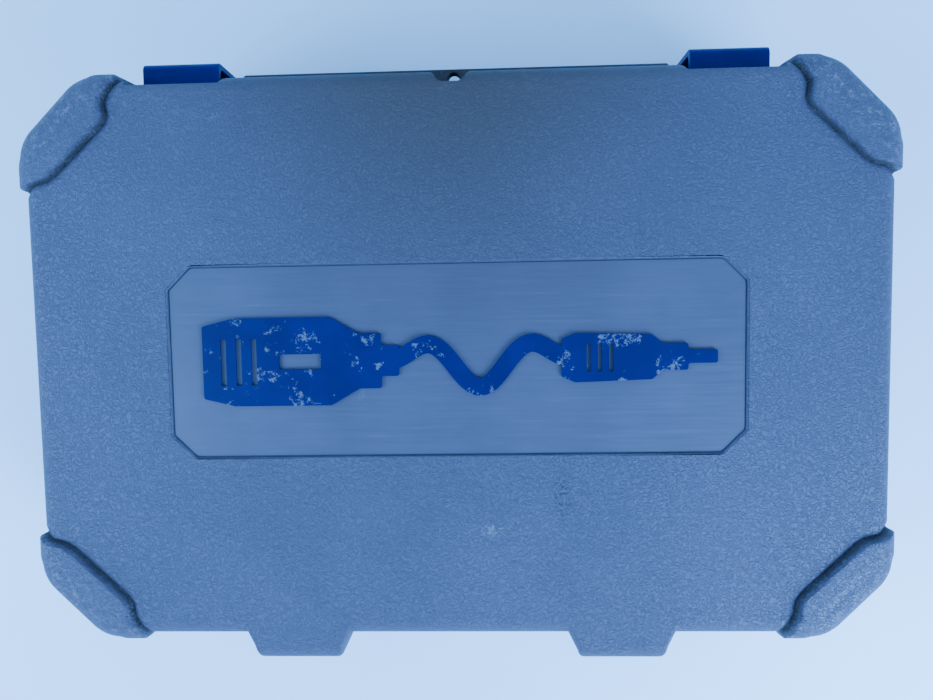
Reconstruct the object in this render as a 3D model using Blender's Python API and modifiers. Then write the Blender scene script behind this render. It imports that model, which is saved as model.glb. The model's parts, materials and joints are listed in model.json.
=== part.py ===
"""Carry case holding a rotary tool with its flexible shaft.

Metres, +Z up. The case lies on its back with the lid on top: +X is to the right, +Y points to the
latches and the handle, and -Y to the hinges. The origin is at the bottom centre of the case.
"""

import math

import bmesh
import bpy
from mathutils import Matrix, Vector

# ---- Driving dimensions: case -----------------------------------------------------------------
HALF_X = 0.1966            # half width of the moulded body at the seam
HALF_Y = 0.130             # half depth of the moulded body at the seam
CORNER_CUT = 0.029         # leg of the cut corners in plan
CORNER_RADIUS = 0.020      # rounding at both ends of a cut corner
FACE_HIGH = 0.097          # outer face of the lid; the base mirrors it below the seam
SEAM = 0.050               # parting plane between base and lid
SEAM_GAP = 0.00015         # each half stays this far from the parting plane
DRAFT = 0.0015             # how far the walls lean in between seam and face
EDGE_RADIUS = 0.0075       # rounding between wall and face
WALL = 0.0025
PAD_HIGH = 0.003           # corner bumpers stand this far above the faces
PAD_OUT = 0.003            # and this far out of the walls
PAD_RADIUS = 0.008
GAP = 0.0003               # clearance between neighbouring pieces

PANEL_HALF_X = 0.130       # sunk panel in each face
PANEL_HALF_Y = 0.0437
PANEL_CUT = 0.0105
PANEL_DEPTH = 0.001
EMBLEM_TOP = 0.0013        # top of the emblem above the panel's floor
# Upper halves of the emblem's tool and handpiece, seen from above.
EMBLEM_TOOL = ((-0.1145, 0.0165), (-0.1000, 0.0200), (-0.0560, 0.0200), (-0.0430, 0.0125),
               (-0.0330, 0.0125), (-0.0330, 0.0070), (-0.0250, 0.0070))
EMBLEM_HANDPIECE = ((0.0480, 0.0085), (0.0540, 0.0110), (0.0880, 0.0100), (0.0930, 0.0060),
                    (0.1040, 0.0060), (0.1040, 0.0030), (0.1169, 0.0030))

FRONT_LINING = 0.1233      # inner face of the thick front wall of the lid
FLANGE_HALF_X = 0.109      # seam flange of the lid between the latches
FLANGE_Y = 0.142
FLANGE_THICK = 0.0028
PADLOCK_Y = 0.1372
PADLOCK_RADIUS = 0.0029

# ---- Latches, handle and hinges ---------------------------------------------------------------
LATCH_X = (0.1098, 0.1462) # inner and outer side of a latch
LATCH_Y = (0.1292, 0.1407) # tip of the hook and outer face
LATCH_TOP = 0.077
LATCH_THICK = 0.003
LATCH_PIVOT = (0.1355, 0.032)
LATCH_BARREL = 0.005
LATCH_EARS = ((0.1055, 0.1095), (0.1465, 0.1505))
PIN_RADIUS = 0.0015
BORE_RADIUS = PIN_RADIUS + GAP

HANDLE_PIVOT = (0.1366, 0.0412)
HANDLE_X = 0.0685          # outer side of the handle's arms
HANDLE_ARM = 0.0105
HANDLE_BAR = (0.005, 0.0185)
HANDLE_Y = (0.1324, 0.1405)
HANDLE_EYE = 0.0045
HANDLE_EAR = (0.069, 0.077)

HINGE_AXIS = (-0.1355, 0.050)
LUG_X = 0.0750             # centre of each hinge lug
LUG_ROOT = 0.0245          # half width where the lug leaves the lid
LUG_TIP = 0.0202           # half width at its outer end
LUG_Y = -0.142
BARREL_RADIUS = 0.004
CHEEK_RADIUS = 0.0045
BARREL_HALF = 0.0110       # half length of the base's hinge barrel
CHEEK_SPAN = (0.0113, 0.0170)

# ---- Contents -----------------------------------------------------------------------------------
TRAY_TOP = 0.044
TRAY_SKIN = 0.0015
TRAY_INSET = 0.0052
TRAY_FOOT = 0.0062
AXIS_Z = 0.0445            # the tool, the shaft and the handpiece all lie at this height
TOOL_Y = 0.058
HANDPIECE_Y = 0.106
SHEATH_RADIUS = 0.0045
HOUSING_WALL = 0.0022
SHAFT_RADIUS = 0.003
RING_AXIS = (-0.0975, 0.0475)
RING_RADIUS = 0.025

BOX_X = (-0.155, -0.005)   # accessory box
BOX_Y = (-0.084, 0.008)
BOX_Z = (0.020, 0.0486)
BOX_COVER_Z = (0.0463, 0.0481)
BOX_WALL = 0.0016
ACCESSORY_Y = -0.065       # tips of the bits in the box

# Route of the flexible sheath in the tray, seen from above: out of the tool's nose, round the
# tray clockwise, and into the handpiece.
SHEATH_ROUTE = (
    (0.088, 0.058), (0.104, 0.058), (0.121, 0.0575), (0.138, 0.0535), (0.153, 0.0450),
    (0.165, 0.0325), (0.1735, 0.0165), (0.1785, -0.002), (0.1805, -0.022), (0.1800, -0.041),
    (0.1760, -0.060), (0.1670, -0.0775), (0.1530, -0.0925), (0.1355, -0.1030), (0.1150, -0.1075),
    (0.090, -0.108), (0.045, -0.108), (0.0, -0.108), (-0.045, -0.108), (-0.090, -0.108),
    (-0.1150, -0.1075), (-0.1355, -0.1030), (-0.1530, -0.0925), (-0.1670, -0.0775),
    (-0.1760, -0.060), (-0.1800, -0.041), (-0.1805, -0.010), (-0.1805, 0.022), (-0.1797, 0.0475),
    (-0.1752, 0.0702), (-0.1632, 0.0890), (-0.1442, 0.1016), (-0.1220, 0.1060), (-0.1100, 0.106),
    (-0.0980, 0.106),
)


# ---- Scene, materials and objects ---------------------------------------------------------------
def start_scene():
    for old in list(bpy.data.objects):
        bpy.data.objects.remove(old, do_unlink=True)
    parts = bpy.data.collections.new("rotary_tool_case")
    tools = bpy.data.collections.new("cutters")
    for collection in (parts, tools):
        bpy.context.scene.collection.children.link(collection)
    return parts, tools


PARTS, CUTTERS = start_scene()


def material(name, colour, roughness, metallic=0.0):
    """Principled material, made once for each name."""
    known = bpy.data.materials.get(name)
    if known:
        return known
    new = bpy.data.materials.new(name)
    new.use_nodes = True
    shader = new.node_tree.nodes["Principled BSDF"]
    shader.inputs["Base Color"].default_value = (*colour, 1.0)
    shader.inputs["Roughness"].default_value = roughness
    shader.inputs["Metallic"].default_value = metallic
    new.diffuse_color = (*colour, 1.0)
    return new


CASE_GREY = material("case_grey", (0.16, 0.19, 0.22), 0.55)
LATCH_BLUE = material("latch_blue", (0.012, 0.045, 0.16), 0.35)
EMBLEM_BLUE = material("emblem_blue", (0.02, 0.05, 0.14), 0.5)
TRAY_BLACK = material("tray_black", (0.03, 0.03, 0.035), 0.6)
STEEL = material("steel", (0.6, 0.6, 0.6), 0.3, 1.0)
TOOL_GREY = material("tool_grey", (0.10, 0.11, 0.12), 0.5)
TOOL_BLUE = material("tool_blue", (0.02, 0.07, 0.22), 0.4)
RUBBER = material("rubber", (0.02, 0.02, 0.02), 0.8)
COPPER = material("copper", (0.72, 0.38, 0.22), 0.35, 1.0)
IRON = material("iron", (0.25, 0.25, 0.26), 0.5, 1.0)
CARBON = material("carbon", (0.04, 0.04, 0.04), 0.7)
CLEAR = material("box_clear", (0.55, 0.60, 0.66), 0.25)
STONE = material("stone", (0.55, 0.30, 0.24), 0.9)
ABRASIVE = material("abrasive", (0.32, 0.17, 0.10), 0.95)
FELT = material("felt", (0.75, 0.73, 0.68), 0.95)


def link(name, mesh, finish):
    """Part if it has a finish, otherwise a cutter or a guide."""
    obj = bpy.data.objects.new(name, mesh)
    if finish:
        PARTS.objects.link(obj)
        mesh.materials.append(finish)
    else:
        CUTTERS.objects.link(obj)
        obj.hide_render = True
        obj.display_type = "WIRE"
    return obj


def solid(name, bm, finish=None):
    """Object from a closed bmesh, with its faces turned outward."""
    bmesh.ops.recalc_face_normals(bm, faces=bm.faces)
    mesh = bpy.data.meshes.new(name)
    bm.to_mesh(mesh)
    bm.free()
    return link(name, mesh, finish)


def combine(target, other, operation):
    """Boolean of the target with another object, kept as a modifier."""
    step = target.modifiers.new(other.name, "BOOLEAN")
    step.operation = operation
    step.object = other
    step.solver = "EXACT"


def bevel(obj, width, segments=2):
    step = obj.modifiers.new("rounded_edges", "BEVEL")
    step.width = width
    step.segments = segments
    step.limit_method = "ANGLE"
    step.angle_limit = math.radians(40)


def origin_at(obj, point):
    """Moves the origin of an object modelled in place to a point, such as its joint's axis."""
    obj.data.transform(Matrix.Translation(-Vector(point)))
    obj.location = point


def attach(child, parent):
    """Parents without moving the child."""
    bpy.context.view_layer.update()
    child.parent = parent
    child.matrix_parent_inverse = parent.matrix_world.inverted()


def round_shading(obj):
    obj.data.shade_smooth()
    obj.data.set_sharp_from_angle(angle=math.radians(35))


# ---- Basic shapes -------------------------------------------------------------------------------
def block(name, xs, ys, zs, finish=None):
    bm = bmesh.new()
    size = [high - low for low, high in (xs, ys, zs)]
    middle = [(high + low) / 2 for low, high in (xs, ys, zs)]
    bmesh.ops.create_cube(bm, size=1.0, matrix=Matrix.LocRotScale(middle, None, size))
    return solid(name, bm, finish)


TURN = {"X": Matrix.Rotation(math.pi / 2, 4, "Y"), "Y": Matrix.Rotation(-math.pi / 2, 4, "X"),
        "Z": Matrix.Identity(4)}


def rod(name, radius, span, centre, axis="X", finish=None, sides=16):
    """Cylinder along an axis: span is its two ends, centre the other two coordinates."""
    low, high = span
    middle = list(centre)
    middle.insert("XYZ".index(axis), (low + high) / 2)
    bm = bmesh.new()
    bmesh.ops.create_cone(bm, cap_ends=True, segments=sides, radius1=radius, radius2=radius,
                          depth=high - low, matrix=Matrix.Translation(middle) @ TURN[axis])
    return solid(name, bm, finish)


def extruded(name, outline, low, high, axis="Z", finish=None):
    """Flat outline pushed along an axis. The outline's points are in the other two coordinates."""
    bm = bmesh.new()
    order = "XYZ".index(axis)
    corners = []
    for point in outline:
        place = list(point)
        place.insert(order, low)
        corners.append(bm.verts.new(place))
    face = bm.faces.new(corners)
    pushed = bmesh.ops.extrude_face_region(bm, geom=[face])
    move = [0.0, 0.0, 0.0]
    move[order] = high - low
    moved = [item for item in pushed["geom"] if isinstance(item, bmesh.types.BMVert)]
    bmesh.ops.translate(bm, verts=moved, vec=move)
    return solid(name, bm, finish)


def loft(name, rings, finish=None):
    """Solid through a stack of rings that have the same number of points."""
    bm = bmesh.new()
    levels = [[bm.verts.new(point) for point in ring] for ring in rings]
    count = len(levels[0])
    for lower, upper in zip(levels, levels[1:]):
        for i in range(count):
            j = (i + 1) % count
            bm.faces.new((lower[i], lower[j], upper[j], upper[i]))
    bm.faces.new(levels[0])
    bm.faces.new(levels[-1])
    return solid(name, bm, finish)


def turned(name, outer, bore=(), finish=None, axis="X", centre=(0.0, 0.0), steps=20):
    """Turned piece on an axis. outer and bore list (place, radius) from its low end to its high end."""
    profile = [(radius, place) for place, radius in reversed(outer)]
    if bore:
        profile += [(radius, place) for place, radius in bore]
    else:
        profile = [(0.0, profile[0][1])] + profile + [(0.0, profile[-1][1])]
    mesh = bpy.data.meshes.new(name)
    edges = [(i, i + 1) for i in range(len(profile) - 1)]
    if bore:
        edges.append((len(profile) - 1, 0))
    mesh.from_pydata([(radius, 0.0, place) for radius, place in profile], edges, [])
    obj = link(name, mesh, finish)
    screw = obj.modifiers.new("turn", "SCREW")
    screw.steps = screw.render_steps = steps
    screw.use_merge_vertices = True
    screw.merge_threshold = 0.00001
    screw.use_smooth_shade = False
    location = list(centre)
    location.insert("XYZ".index(axis), 0.0)
    obj.location = location
    obj.rotation_euler = TURN[axis].to_euler()
    return obj


def as_mesh(obj, finish=None):
    """Mesh object with the evaluated shape of a curve, its caps welded."""
    bpy.context.view_layer.update()
    evaluated = obj.evaluated_get(bpy.context.evaluated_depsgraph_get())
    mesh = bpy.data.meshes.new_from_object(evaluated)
    bm = bmesh.new()
    bm.from_mesh(mesh)
    bmesh.ops.remove_doubles(bm, verts=bm.verts, dist=0.00001)
    bm.to_mesh(mesh)
    bm.free()
    new = link(obj.name + "_mesh", mesh, finish)
    new.matrix_world = obj.matrix_world
    bpy.data.objects.remove(obj)
    return new


def tube(name, points, radius, finish=None, sides=8):
    """Round tube along a polyline."""
    curve = bpy.data.curves.new(name, "CURVE")
    curve.dimensions = "3D"
    curve.bevel_depth = radius
    curve.bevel_resolution = sides // 2 - 2
    curve.use_fill_caps = True
    line = curve.splines.new("POLY")
    line.points.add(len(points) - 1)
    for slot, point in zip(line.points, points):
        slot.co = (*point, 1.0)
    return link(name, curve, finish)


def fillet(corners, radius, steps=3):
    """Closed outline with every corner replaced by an arc. Corners go round in order."""
    points = []
    count = len(corners)
    for i, corner in enumerate(corners):
        here = Vector(corner)
        back = (Vector(corners[i - 1]) - here).normalized()
        ahead = (Vector(corners[(i + 1) % count]) - here).normalized()
        half = back.angle(ahead) / 2
        reach = radius / math.tan(half)
        middle = here + (back + ahead).normalized() * (radius / math.sin(half))
        start = here + back * reach - middle
        end = here + ahead * reach - middle
        sweep = start.angle_signed(end)
        for step in range(steps + 1):
            turn = Matrix.Rotation(-sweep * step / steps, 2)
            points.append(tuple(middle + turn @ start))
    return points


def cut_rectangle(half_x, half_y, leg):
    """Corners of a rectangle whose corners are cut at 45 degrees, anticlockwise."""
    quarter = [(half_x, half_y - leg), (half_x - leg, half_y)]
    points = quarter + [(-x, y) for x, y in reversed(quarter)]
    return points + [(-x, -y) for x, y in points]


def smooth_route(points, steps):
    """Points on a Catmull-Rom curve through the given ones."""
    ends = [points[0]] + list(points) + [points[-1]]
    found = []
    for i in range(1, len(ends) - 2):
        a, b, c, d = (Vector(ends[i + k]) for k in (-1, 0, 1, 2))
        for step in range(steps):
            t = step / steps
            found.append(0.5 * (2 * b + (c - a) * t + (2 * a - 5 * b + 4 * c - d) * t * t
                                + (3 * b - a - 3 * c + d) * t ** 3))
    found.append(Vector(ends[-2]))
    return found


# ---- Case shells ----------------------------------------------------------------------------------
def case_ring(inset, z, steps=3):
    """Plan outline of the case at a height, moved in by inset."""
    leg = CORNER_CUT - (2 - math.sqrt(2)) * inset
    corners = cut_rectangle(HALF_X - inset, HALF_Y - inset, leg)
    return [(x, y, z) for x, y in fillet(corners, CORNER_RADIUS - inset, steps)]


def mirrored_z(z, up):
    """Height for the lid, or its mirror image below the seam for the base."""
    return z if up else 2 * SEAM - z


def skin(name, start, wall_inset, face, radius, up, below=0.0):
    """Solid of the case from the seam to a rounded face. below lengthens it past the seam."""
    levels = [(start, SEAM + SEAM_GAP - below), (wall_inset, face - radius)]
    for step in (1, 2, 3):
        angle = math.radians(30 * step)
        levels.append((wall_inset + radius * (1 - math.cos(angle)),
                       face - radius * (1 - math.sin(angle))))
    return loft(name, [case_ring(inset, mirrored_z(z, up)) for inset, z in levels])


def bumpers(name, up):
    """The four raised corners of one half."""
    body = skin(name, -PAD_OUT, DRAFT - PAD_OUT - 0.0005, FACE_HIGH + PAD_HIGH, PAD_RADIUS, up)
    corner = Vector((0.215, 0.145))
    foot = [(0.215, 0.098), (0.1945, 0.0775), (0.1845, 0.0835), (0.1535, 0.1115),
            (0.1500, 0.1180), (0.1468, 0.1283), (0.1635, 0.145), tuple(corner)]
    top = [corner + (Vector(point) - corner) * 0.955 for point in foot]
    levels = ((foot, 0.040), (foot, FACE_HIGH), (top, FACE_HIGH + PAD_HIGH + 0.0005))
    rings = [[(x, y, mirrored_z(z, up)) for x, y in outline] for outline, z in levels]
    wedges = loft(name + "_limit", rings)
    mirror = wedges.modifiers.new("corners", "MIRROR")
    mirror.use_axis = (True, True, False)
    mirror.merge_threshold = 0.00001
    combine(body, wedges, "INTERSECT")
    return body


def shell(name, up):
    """One moulded half: body, bumpers, sunk panel and cavity."""
    half = skin(name, 0.0, DRAFT, FACE_HIGH, EDGE_RADIUS, up)
    CUTTERS.objects.unlink(half)
    PARTS.objects.link(half)
    half.hide_render = False
    half.display_type = "TEXTURED"
    half.data.materials.append(CASE_GREY)
    combine(half, bumpers(name + "_bumpers", up), "UNION")
    panel = cut_rectangle(PANEL_HALF_X, PANEL_HALF_Y, PANEL_CUT)
    depths = (mirrored_z(FACE_HIGH - PANEL_DEPTH, up), mirrored_z(FACE_HIGH + 0.002, up))
    combine(half, extruded(name + "_panel", panel, min(depths), max(depths)), "DIFFERENCE")
    return half


def hollow(half, name, up, lining=None):
    """Cuts the cavity. lining is the inner face of a thicker front wall."""
    cavity = skin(name, WALL, DRAFT + WALL, FACE_HIGH - WALL, EDGE_RADIUS - WALL / 2, up, 0.005)
    if lining:
        front = block(name + "_lining", (-0.25, 0.25), (lining, 0.2), (0.0, 0.11))
        combine(cavity, front, "DIFFERENCE")
    combine(half, cavity, "DIFFERENCE")


def latch_recess(side):
    """Sunk strip of the lid's front wall behind a latch."""
    outline = [(0.0983, 0.1300), (0.1035, 0.1265), (0.1455, 0.1265), (0.1480, 0.1290),
               (0.1480, 0.1450), (0.0983, 0.1450)]
    return extruded("latch_recess", [(side * x, y) for x, y in outline], 0.045, 0.099)


def padlock_bore():
    return rod("padlock_bore", PADLOCK_RADIUS, (0.040, 0.060), (0.0, PADLOCK_Y), "Z")


def hinge_lug(side):
    """Tapered cover over one hinge, its face in line with the lid's face."""
    plan = [(LUG_X - LUG_ROOT, -0.1230), (LUG_X - LUG_ROOT, -0.1290), (LUG_X - LUG_TIP, LUG_Y),
            (LUG_X + LUG_TIP, LUG_Y), (LUG_X + LUG_ROOT, -0.1290), (LUG_X + LUG_ROOT, -0.1230)]
    lug = extruded("hinge_lug", fillet([(side * x, y) for x, y in plan], 0.003), 0.052, 0.110)
    radius = 0.008
    side_view = [(-0.120, 0.050), (LUG_Y, 0.050)]
    for step in range(5):
        angle = math.radians(90 * step / 4)
        side_view.append((LUG_Y + radius * (1 - math.cos(angle)),
                          FACE_HIGH - radius * (1 - math.sin(angle))))
    side_view.append((-0.120, FACE_HIGH))
    limit = extruded("hinge_lug_limit", side_view, *sorted((side * 0.04, side * 0.12)), axis="X")
    combine(lug, limit, "INTERSECT")
    return lug


def lid_shell():
    lid = shell("lid_shell", True)
    for side in (-1, 1):
        combine(lid, latch_recess(side), "DIFFERENCE")
        combine(lid, hinge_lug(side), "UNION")
    hollow(lid, "lid_cavity", True, FRONT_LINING)
    flange = [(-FLANGE_HALF_X, 0.1250), (FLANGE_HALF_X, 0.1250), (FLANGE_HALF_X, 0.1385),
              (FLANGE_HALF_X - 0.0035, FLANGE_Y), (-FLANGE_HALF_X + 0.0035, FLANGE_Y),
              (-FLANGE_HALF_X, 0.1385)]
    top = SEAM + SEAM_GAP + FLANGE_THICK
    combine(lid, extruded("flange", flange, SEAM + SEAM_GAP, top), "UNION")
    scallop = [(-0.0085, 0.1320), (-0.0072, 0.1280), (-0.0043, 0.1247), (0.0043, 0.1247),
               (0.0072, 0.1280), (0.0085, 0.1320)]
    combine(lid, extruded("scallop", scallop, top, 0.099), "DIFFERENCE")
    combine(lid, padlock_bore(), "DIFFERENCE")
    for side in (-1, 1):
        ridge = sorted((side * 0.113, side * 0.143))
        combine(lid, block("catch_ridge", ridge, (0.1255, 0.1286), (0.066, 0.0725)), "UNION")
        centre = side * LUG_X
        pocket = (centre - 0.0145, centre + 0.0145)
        combine(lid, block("lug_pocket", pocket, (-0.1398, -0.1312), (0.045, 0.090)), "DIFFERENCE")
        for end in (-1, 1):
            span = sorted(centre + end * reach for reach in CHEEK_SPAN)
            combine(lid, rod("cheek", CHEEK_RADIUS, span, HINGE_AXIS), "UNION")
            web = (HINGE_AXIS[0] - CHEEK_RADIUS, HINGE_AXIS[0] + CHEEK_RADIUS)
            combine(lid, block("cheek_web", span, web, (HINGE_AXIS[1], 0.0535)), "UNION")
        bore = (centre - 0.03, centre + 0.03)
        combine(lid, rod("hinge_bore", BORE_RADIUS, bore, HINGE_AXIS, sides=12), "DIFFERENCE")
    origin_at(lid, (0.0, *HINGE_AXIS))
    return lid


def base_shell():
    base = shell("base_shell", False)
    hollow(base, "base_cavity", False)
    tab = [(-0.0095, 0.1280), (0.0095, 0.1280), (0.0095, 0.1385), (0.0055, 0.1418),
           (-0.0055, 0.1418), (-0.0095, 0.1385)]
    combine(base, extruded("padlock_tab", tab, SEAM - SEAM_GAP - 0.003, SEAM - SEAM_GAP), "UNION")
    combine(base, padlock_bore(), "DIFFERENCE")
    for side in (-1, 1):
        for ear in LATCH_EARS:
            span = sorted(side * x for x in ear)
            combine(base, block("latch_ear", span, (0.1282, 0.1400), (0.0270, 0.0370)), "UNION")
        reach = sorted((side * 0.100, side * 0.1545))
        combine(base, rod("latch_bore", BORE_RADIUS, reach, LATCH_PIVOT, sides=12), "DIFFERENCE")
        span = sorted(side * x for x in HANDLE_EAR)
        ear = block("handle_ear", span, (0.1282, 0.1410), (0.0358, 0.0466))
        combine(base, ear, "UNION")
        reach = sorted((side * 0.055, side * 0.085))
        combine(base, rod("handle_bore", BORE_RADIUS, reach, HANDLE_PIVOT, sides=12), "DIFFERENCE")
        barrel = (side * LUG_X - BARREL_HALF, side * LUG_X + BARREL_HALF)
        combine(base, block("hinge_web", barrel, (-0.1335, -0.1285), (0.0456, 0.0496)), "UNION")
        combine(base, rod("hinge_barrel", BARREL_RADIUS, barrel, HINGE_AXIS), "UNION")
        bore = (barrel[0] - 0.01, barrel[1] + 0.01)
        combine(base, rod("hinge_bore", BORE_RADIUS, bore, HINGE_AXIS, sides=12), "DIFFERENCE")
    return base


def mirrored_outline(points):
    """Closed outline from its upper half, mirrored about the X axis."""
    return list(points) + [(x, -y) for x, y in reversed(points)]


def wave(low, high, swing, half_width, waves=1.5, steps=48):
    """Outline of a ribbon that swings from side to side and dies away at both ends."""
    upper, lower = [], []
    for step in range(steps + 1):
        share = step / steps
        phase = 2 * math.pi * waves * share
        rise = math.sin(math.pi * share)
        here = Vector((low + (high - low) * share, swing * rise * math.sin(phase)))
        slope = swing * math.pi * (2 * waves * rise * math.cos(phase)
                                   + math.cos(math.pi * share) * math.sin(phase)) / (high - low)
        across = Vector((-slope, 1.0)).normalized() * half_width
        upper.append(tuple(here + across))
        lower.append(tuple(here - across))
    return upper + lower[::-1]


def lid_emblem():
    """Raised picture of a rotary tool, its flexible shaft and its handpiece."""
    floor = FACE_HIGH - PANEL_DEPTH
    heights = (floor + GAP, floor + EMBLEM_TOP)
    emblem = extruded("lid_emblem", fillet(mirrored_outline(EMBLEM_TOOL), 0.0011), *heights,
                      finish=EMBLEM_BLUE)
    ribbon = wave(EMBLEM_TOOL[-1][0] - 0.004, EMBLEM_HANDPIECE[0][0] + 0.004, 0.0125, 0.0040)
    handpiece = fillet(mirrored_outline(EMBLEM_HANDPIECE), 0.0009)
    for word, outline in (("shaft", ribbon), ("handpiece", handpiece)):
        combine(emblem, extruded("emblem_" + word, outline, *heights), "UNION")
    slots = [(x, 0.0013, 0.0105) for x in (-0.1050, -0.0980, -0.0910)]
    slots += [(x, 0.0009, 0.0062) for x in (0.0600, 0.0650, 0.0700)]
    slots.append((-0.0700, 0.0095, 0.0034))
    for place, (x, half_x, half_y) in enumerate(slots):
        slot = block(f"emblem_slot_{place}", (x - half_x, x + half_x), (-half_y, half_y),
                     (FACE_HIGH - 0.004, FACE_HIGH + 0.004))
        combine(emblem, slot, "DIFFERENCE")
    return emblem


# ---- Latches, handle and pins -----------------------------------------------------------------------
def latch(side, word):
    """Hooked cover that turns on a pin at its lower end."""
    pivot_y, pivot_z = LATCH_PIVOT
    tip_y, face_y = LATCH_Y
    profile = [(tip_y, LATCH_TOP), (tip_y, LATCH_TOP - LATCH_THICK),
               (face_y - LATCH_THICK - 0.001, LATCH_TOP - LATCH_THICK),
               (face_y - LATCH_THICK, LATCH_TOP - LATCH_THICK - 0.001),
               (face_y - LATCH_THICK, pivot_z + 0.0042)]
    for step in range(9):
        angle = math.radians(75 + 285 * step / 8)
        profile.append((pivot_y + LATCH_BARREL * math.cos(angle),
                        pivot_z + LATCH_BARREL * math.sin(angle)))
    profile += [(face_y, pivot_z + 0.003), (face_y, LATCH_TOP - 0.003),
                (face_y - 0.0009, LATCH_TOP - 0.0009), (face_y - 0.003, LATCH_TOP)]
    span = sorted(side * x for x in LATCH_X)
    cover = extruded("latch_" + word, profile, *span, axis="X", finish=LATCH_BLUE)
    bore = rod("latch_eye", BORE_RADIUS, (span[0] - 0.01, span[1] + 0.01), LATCH_PIVOT, sides=12)
    combine(cover, bore, "DIFFERENCE")
    origin_at(cover, (0.0, pivot_y, pivot_z))
    return cover


def carry_handle():
    """U-shaped bail that hangs below the flange."""
    inner = HANDLE_X - HANDLE_ARM
    low, high = HANDLE_BAR
    top = HANDLE_PIVOT[1] + HANDLE_EYE
    arm_y = HANDLE_PIVOT[0]
    outline = [(-HANDLE_X, top), (-HANDLE_X, low + 0.007), (-HANDLE_X + 0.007, low),
               (HANDLE_X - 0.007, low), (HANDLE_X, low + 0.007), (HANDLE_X, top), (inner, top),
               (inner, high + 0.005), (inner - 0.005, high), (-inner + 0.005, high),
               (-inner, high + 0.005), (-inner, top)]
    handle = extruded("carry_handle", outline, *HANDLE_Y, axis="Y", finish=CASE_GREY)
    side_view = [(HANDLE_Y[0], 0.0), (HANDLE_Y[1], 0.0)]
    for step in range(7):
        angle = math.radians(180 * step / 6)
        side_view.append((arm_y + HANDLE_EYE * 0.86 * math.cos(angle),
                          HANDLE_PIVOT[1] + HANDLE_EYE * math.sin(angle)))
    limit = extruded("handle_side_view", side_view, -0.08, 0.08, axis="X")
    bevel(handle, 0.0015, 1)
    combine(handle, limit, "INTERSECT")
    bore = rod("handle_eye", BORE_RADIUS, (-0.09, 0.09), HANDLE_PIVOT, sides=12)
    combine(handle, bore, "DIFFERENCE")
    origin_at(handle, (0.0, *HANDLE_PIVOT))
    return handle


def pins():
    """Steel pins of the latches, the handle and the hinges."""
    groups = (("latch_pin_", LATCH_PIVOT, LATCH_EARS[0][0] + GAP, LATCH_EARS[1][1] - GAP),
              ("handle_pin_", HANDLE_PIVOT, HANDLE_X - HANDLE_ARM + GAP, HANDLE_EAR[1] - GAP),
              ("hinge_pin_", HINGE_AXIS, LUG_X - CHEEK_SPAN[1] + GAP, LUG_X + CHEEK_SPAN[1] - GAP))
    for stem, centre, low, high in groups:
        for side, word in ((-1, "left"), (1, "right")):
            span = sorted((side * low, side * high))
            round_shading(rod(stem + word, PIN_RADIUS, span, centre, finish=STEEL, sides=12))


# ---- Tray and accessory box ---------------------------------------------------------------------------
TOOL_OUTLINE = ((-0.1170, 0.0080), (-0.1056, 0.0085), (-0.1050, 0.0205), (-0.0985, 0.0258),
                (-0.0600, 0.0280), (0.0050, 0.0280), (0.0440, 0.0222), (0.0540, 0.0148),
                (0.0790, 0.0148), (0.0850, 0.0105), (0.1130, 0.0070))
HANDPIECE_OUTLINE = ((-0.1250, 0.0070), (-0.1030, 0.0100), (-0.1000, 0.0112), (0.0150, 0.0112),
                     (0.0430, 0.0100), (0.0640, 0.0085))


def grown(outline, by):
    first, last = outline[0], outline[-1]
    middle = [(place, radius + by) for place, radius in outline]
    return [(first[0] - by, first[1] + by)] + middle[1:-1] + [(last[0] + by, last[1] + by)]


def sheath_points(steps=2):
    return [(*point, AXIS_Z) for point in smooth_route(SHEATH_ROUTE, steps)]


def tool_tray():
    """Vacuum-formed tray: a thin skin with half-round seats and boxed pockets."""
    outline = [(x, y) for x, y, _ in case_ring(TRAY_INSET, 0.0, 2)]
    tray = extruded("tool_tray", outline, TRAY_FOOT + 0.006, TRAY_TOP, finish=TRAY_BLACK)
    inner = [(x, y) for x, y, _ in case_ring(TRAY_INSET + TRAY_SKIN, 0.0, 2)]
    under = extruded("tray_underside", inner, 0.0, TRAY_TOP - TRAY_SKIN)
    combine(tray, under, "DIFFERENCE")
    pockets = [((BOX_X[0] - 0.0015, BOX_X[1] + 0.0015), (BOX_Y[0] - 0.0015, BOX_Y[1] + 0.0015),
                BOX_Z[0] - GAP),
               ((0.0200, 0.1120), (-0.0790, -0.0560), 0.0385),
               ((0.0400, 0.0760), (-0.0250, 0.0110), 0.0240),
               ((0.0900, 0.1130), (-0.0180, 0.0040), 0.0300)]
    rim = TRAY_TOP - TRAY_SKIN / 2
    seats = []
    for place, (centre_y, shape) in enumerate(((TOOL_Y, TOOL_OUTLINE),
                                               (HANDPIECE_Y, HANDPIECE_OUTLINE))):
        centre = (centre_y, AXIS_Z)
        seats.append((turned(f"seat_shell_{place}", grown(shape, TRAY_SKIN), centre=centre, steps=16),
                      turned(f"seat_{place}", shape, centre=centre, steps=16)))
    for place, (xs, ys, floor) in enumerate(pockets):
        around = [(low - TRAY_SKIN, high + TRAY_SKIN) for low, high in (xs, ys)]
        seats.append((block(f"pocket_shell_{place}", *around, (floor - TRAY_SKIN, rim)),
                      block(f"pocket_{place}", xs, ys, (floor, TRAY_TOP + 0.04))))
    route = sheath_points()
    channel_radius = SHEATH_RADIUS + 0.0007
    seats.append((as_mesh(tube("channel_shell", route, channel_radius + TRAY_SKIN)),
                  as_mesh(tube("channel", route, channel_radius))))
    above = block("above_tray", (-0.25, 0.25), (-0.2, 0.2), (rim, 0.12))
    for outside, _ in seats:
        combine(outside, above, "DIFFERENCE")
        combine(tray, outside, "UNION")
    for _, inside in seats:
        combine(tray, inside, "DIFFERENCE")
    return tray


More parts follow.
